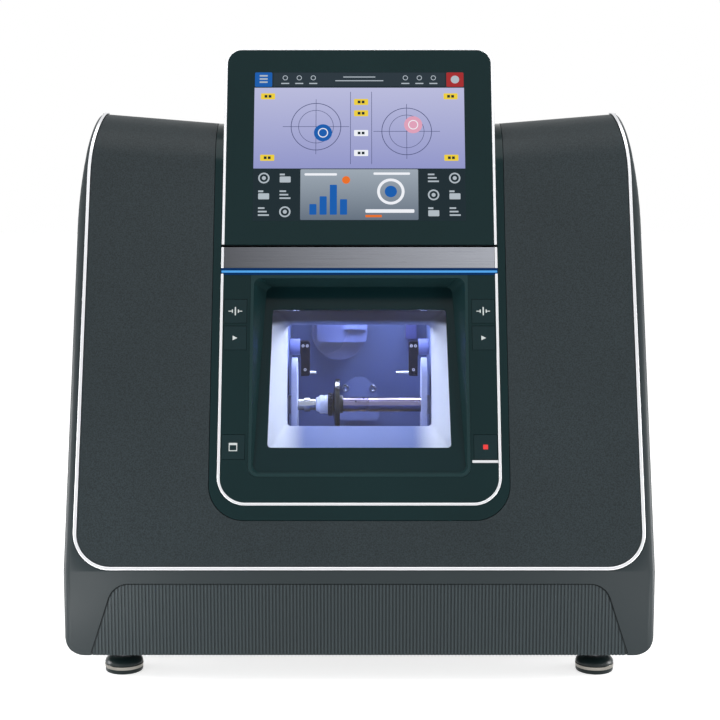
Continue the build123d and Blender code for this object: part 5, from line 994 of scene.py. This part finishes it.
paint("screen_right_spot", [dot(53.5, 444.0, 9.0, 3)], screen_pink)
tags = [
    tile(-98.0, 471.0, -84.0, 477.4, 3, 0.8), tile(-98.0, 406.0, -84.0, 412.4, 3, 0.8),
    tile(84.0, 471.0, 98.0, 477.4, 3, 0.8), tile(84.0, 406.0, 98.0, 412.4, 3, 0.8),
    tile(-5.2, 465.0, 8.8, 471.4, 3, 0.8), tile(-5.2, 453.0, 8.8, 459.4, 3, 0.8),
]
paint("screen_yellow_tags", tags, screen_yellow)
tags = [
    tile(-5.2, 432.0, 8.8, 438.4, 3, 0.8), tile(-5.2, 411.0, 8.8, 417.4, 3, 0.8),
    ring_line(-36.0, 435.5, 5.0, 0.9, 4, 32), ring_line(53.5, 444.0, 5.0, 0.9, 4, 32),
]
paint("screen_white_tags", tags, screen_white)
figures = []
for across, up in ((-91.0, 474.2), (-91.0, 409.2), (91.0, 474.2), (91.0, 409.2), (1.8, 468.2),
                   (1.8, 456.2), (1.8, 435.2), (1.8, 414.2)):
    figures += [tile(across - 3.4, up - 1.4, across - 0.6, up + 1.4, 4)]
    figures += [tile(across + 0.6, up - 1.4, across + 3.4, up + 1.4, 4)]
paint("screen_tag_figures", figures, screen_dark)
pictures = [
    tile(-49.0, 350.0, -42.0, 361.0, 2, 0.8), tile(-39.0, 350.0, -32.0, 369.0, 2, 0.8),
    tile(-29.0, 350.0, -22.0, 381.0, 2, 0.8), tile(-19.0, 350.0, -12.0, 366.0, 2, 0.8),
    dot(31.0, 374.0, 6.0, 3),
]
paint("screen_blue_bars", pictures, screen_blue)
pictures = [
    ring_line(31.0, 374.0, 13.5, 2.8, 2, 48), tile(6.0, 352.0, 54.0, 355.6, 2, 0.9),
    tile(-54.0, 390.6, -22.0, 393.0, 2, 0.9), tile(14.0, 391.4, 50.0, 393.8, 2, 0.9),
]
paint("screen_pale_shapes", pictures, screen_white)
marks = [dot(-13.0, 386.0, 4.0, 2), tile(6.0, 347.4, 22.0, 349.8, 2)]
paint("screen_orange_spot", marks, screen_orange)
keys = []
for column, across in enumerate((-94.0, -73.0, 73.0, 94.0)):
    for row, up in enumerate((388.0, 370.5, 353.0)):
        if (row + column) % 3 == 0:
            keys += [ring_line(across, up, 5.6, 1.5, 2, 28), dot(across, up, 2.0, 2, 16)]
        elif (row + column) % 3 == 1:
            keys += [tile(across - 5.4, up - 4.6, across + 5.4, up + 1.6, 2, 0.8)]
            keys += [tile(across - 5.4, up + 2.8, across - 0.4, up + 4.6, 2)]
        else:
            for line in range(3):
                low = up - 4.2 + 3.6 * line
                keys += [tile(across - 5.4, low, across + 5.4 - 2.2 * line, low + 1.6, 2)]
paint("screen_key_marks", keys, screen_pale)

# Hood and side covers: satin grey mouldings that close the top, the back and the sides,
# with louvres for the air and slots in front of the fan.
shell_grey = moulding("shell_grey", srgb(38, 47, 50), 0.46, 1100.0, 0.03, cloud=0.04, gloss=0.3)
true_up("hood", "moulded_hood", "chassis", shell_grey, edge=0.4)
true_up("right_side_cover", "moulded_right_cover", "chassis", shell_grey, edge=0.4)
true_up("left_side_cover", "moulded_left_cover", "chassis", shell_grey, edge=0.4)

# Control box, fan, inlet and switch: the electrical group at the back, in a coated steel
# box, a moulded fan and the black inlet with its rocker, screwed into the hood.
box_coat = moulding("box_coat", srgb(128, 131, 134), 0.5, 900.0, 0.05)
fan_black = moulding("fan_black", srgb(26, 26, 28), 0.42, 700.0, 0.03)
inlet_black = moulding("inlet_black", srgb(20, 20, 22), 0.3, 700.0, 0.02)
true_up("control_box", "coated_control_box", "chassis", box_coat, edge=0.6)
true_up("fan_frame", "moulded_fan_frame", "chassis", fan_black, edge=0.5)
true_up("fan_rotor", "moulded_fan_rotor", "fan", fan_black, edge=0.3)
true_up("power_inlet", "moulded_power_inlet", "chassis", inlet_black, edge=0.5)
true_up("power_rocker", "moulded_rocker", "rocker", inlet_black, edge=0.4)

# Water fittings and cover screws: turned brass tails for the hoses, and zinc-plated
# screws with hexagon sockets along both edges of the back.
brass = metal("brass", srgb(196, 168, 104), 0.3)
zinc = metal("zinc", srgb(176, 178, 184), 0.3)
true_up("water_fittings", "turned_fittings", "chassis", brass, edge=0.25)
true_up("cover_screws", "plated_screws", "chassis", zinc, edge=0.15)
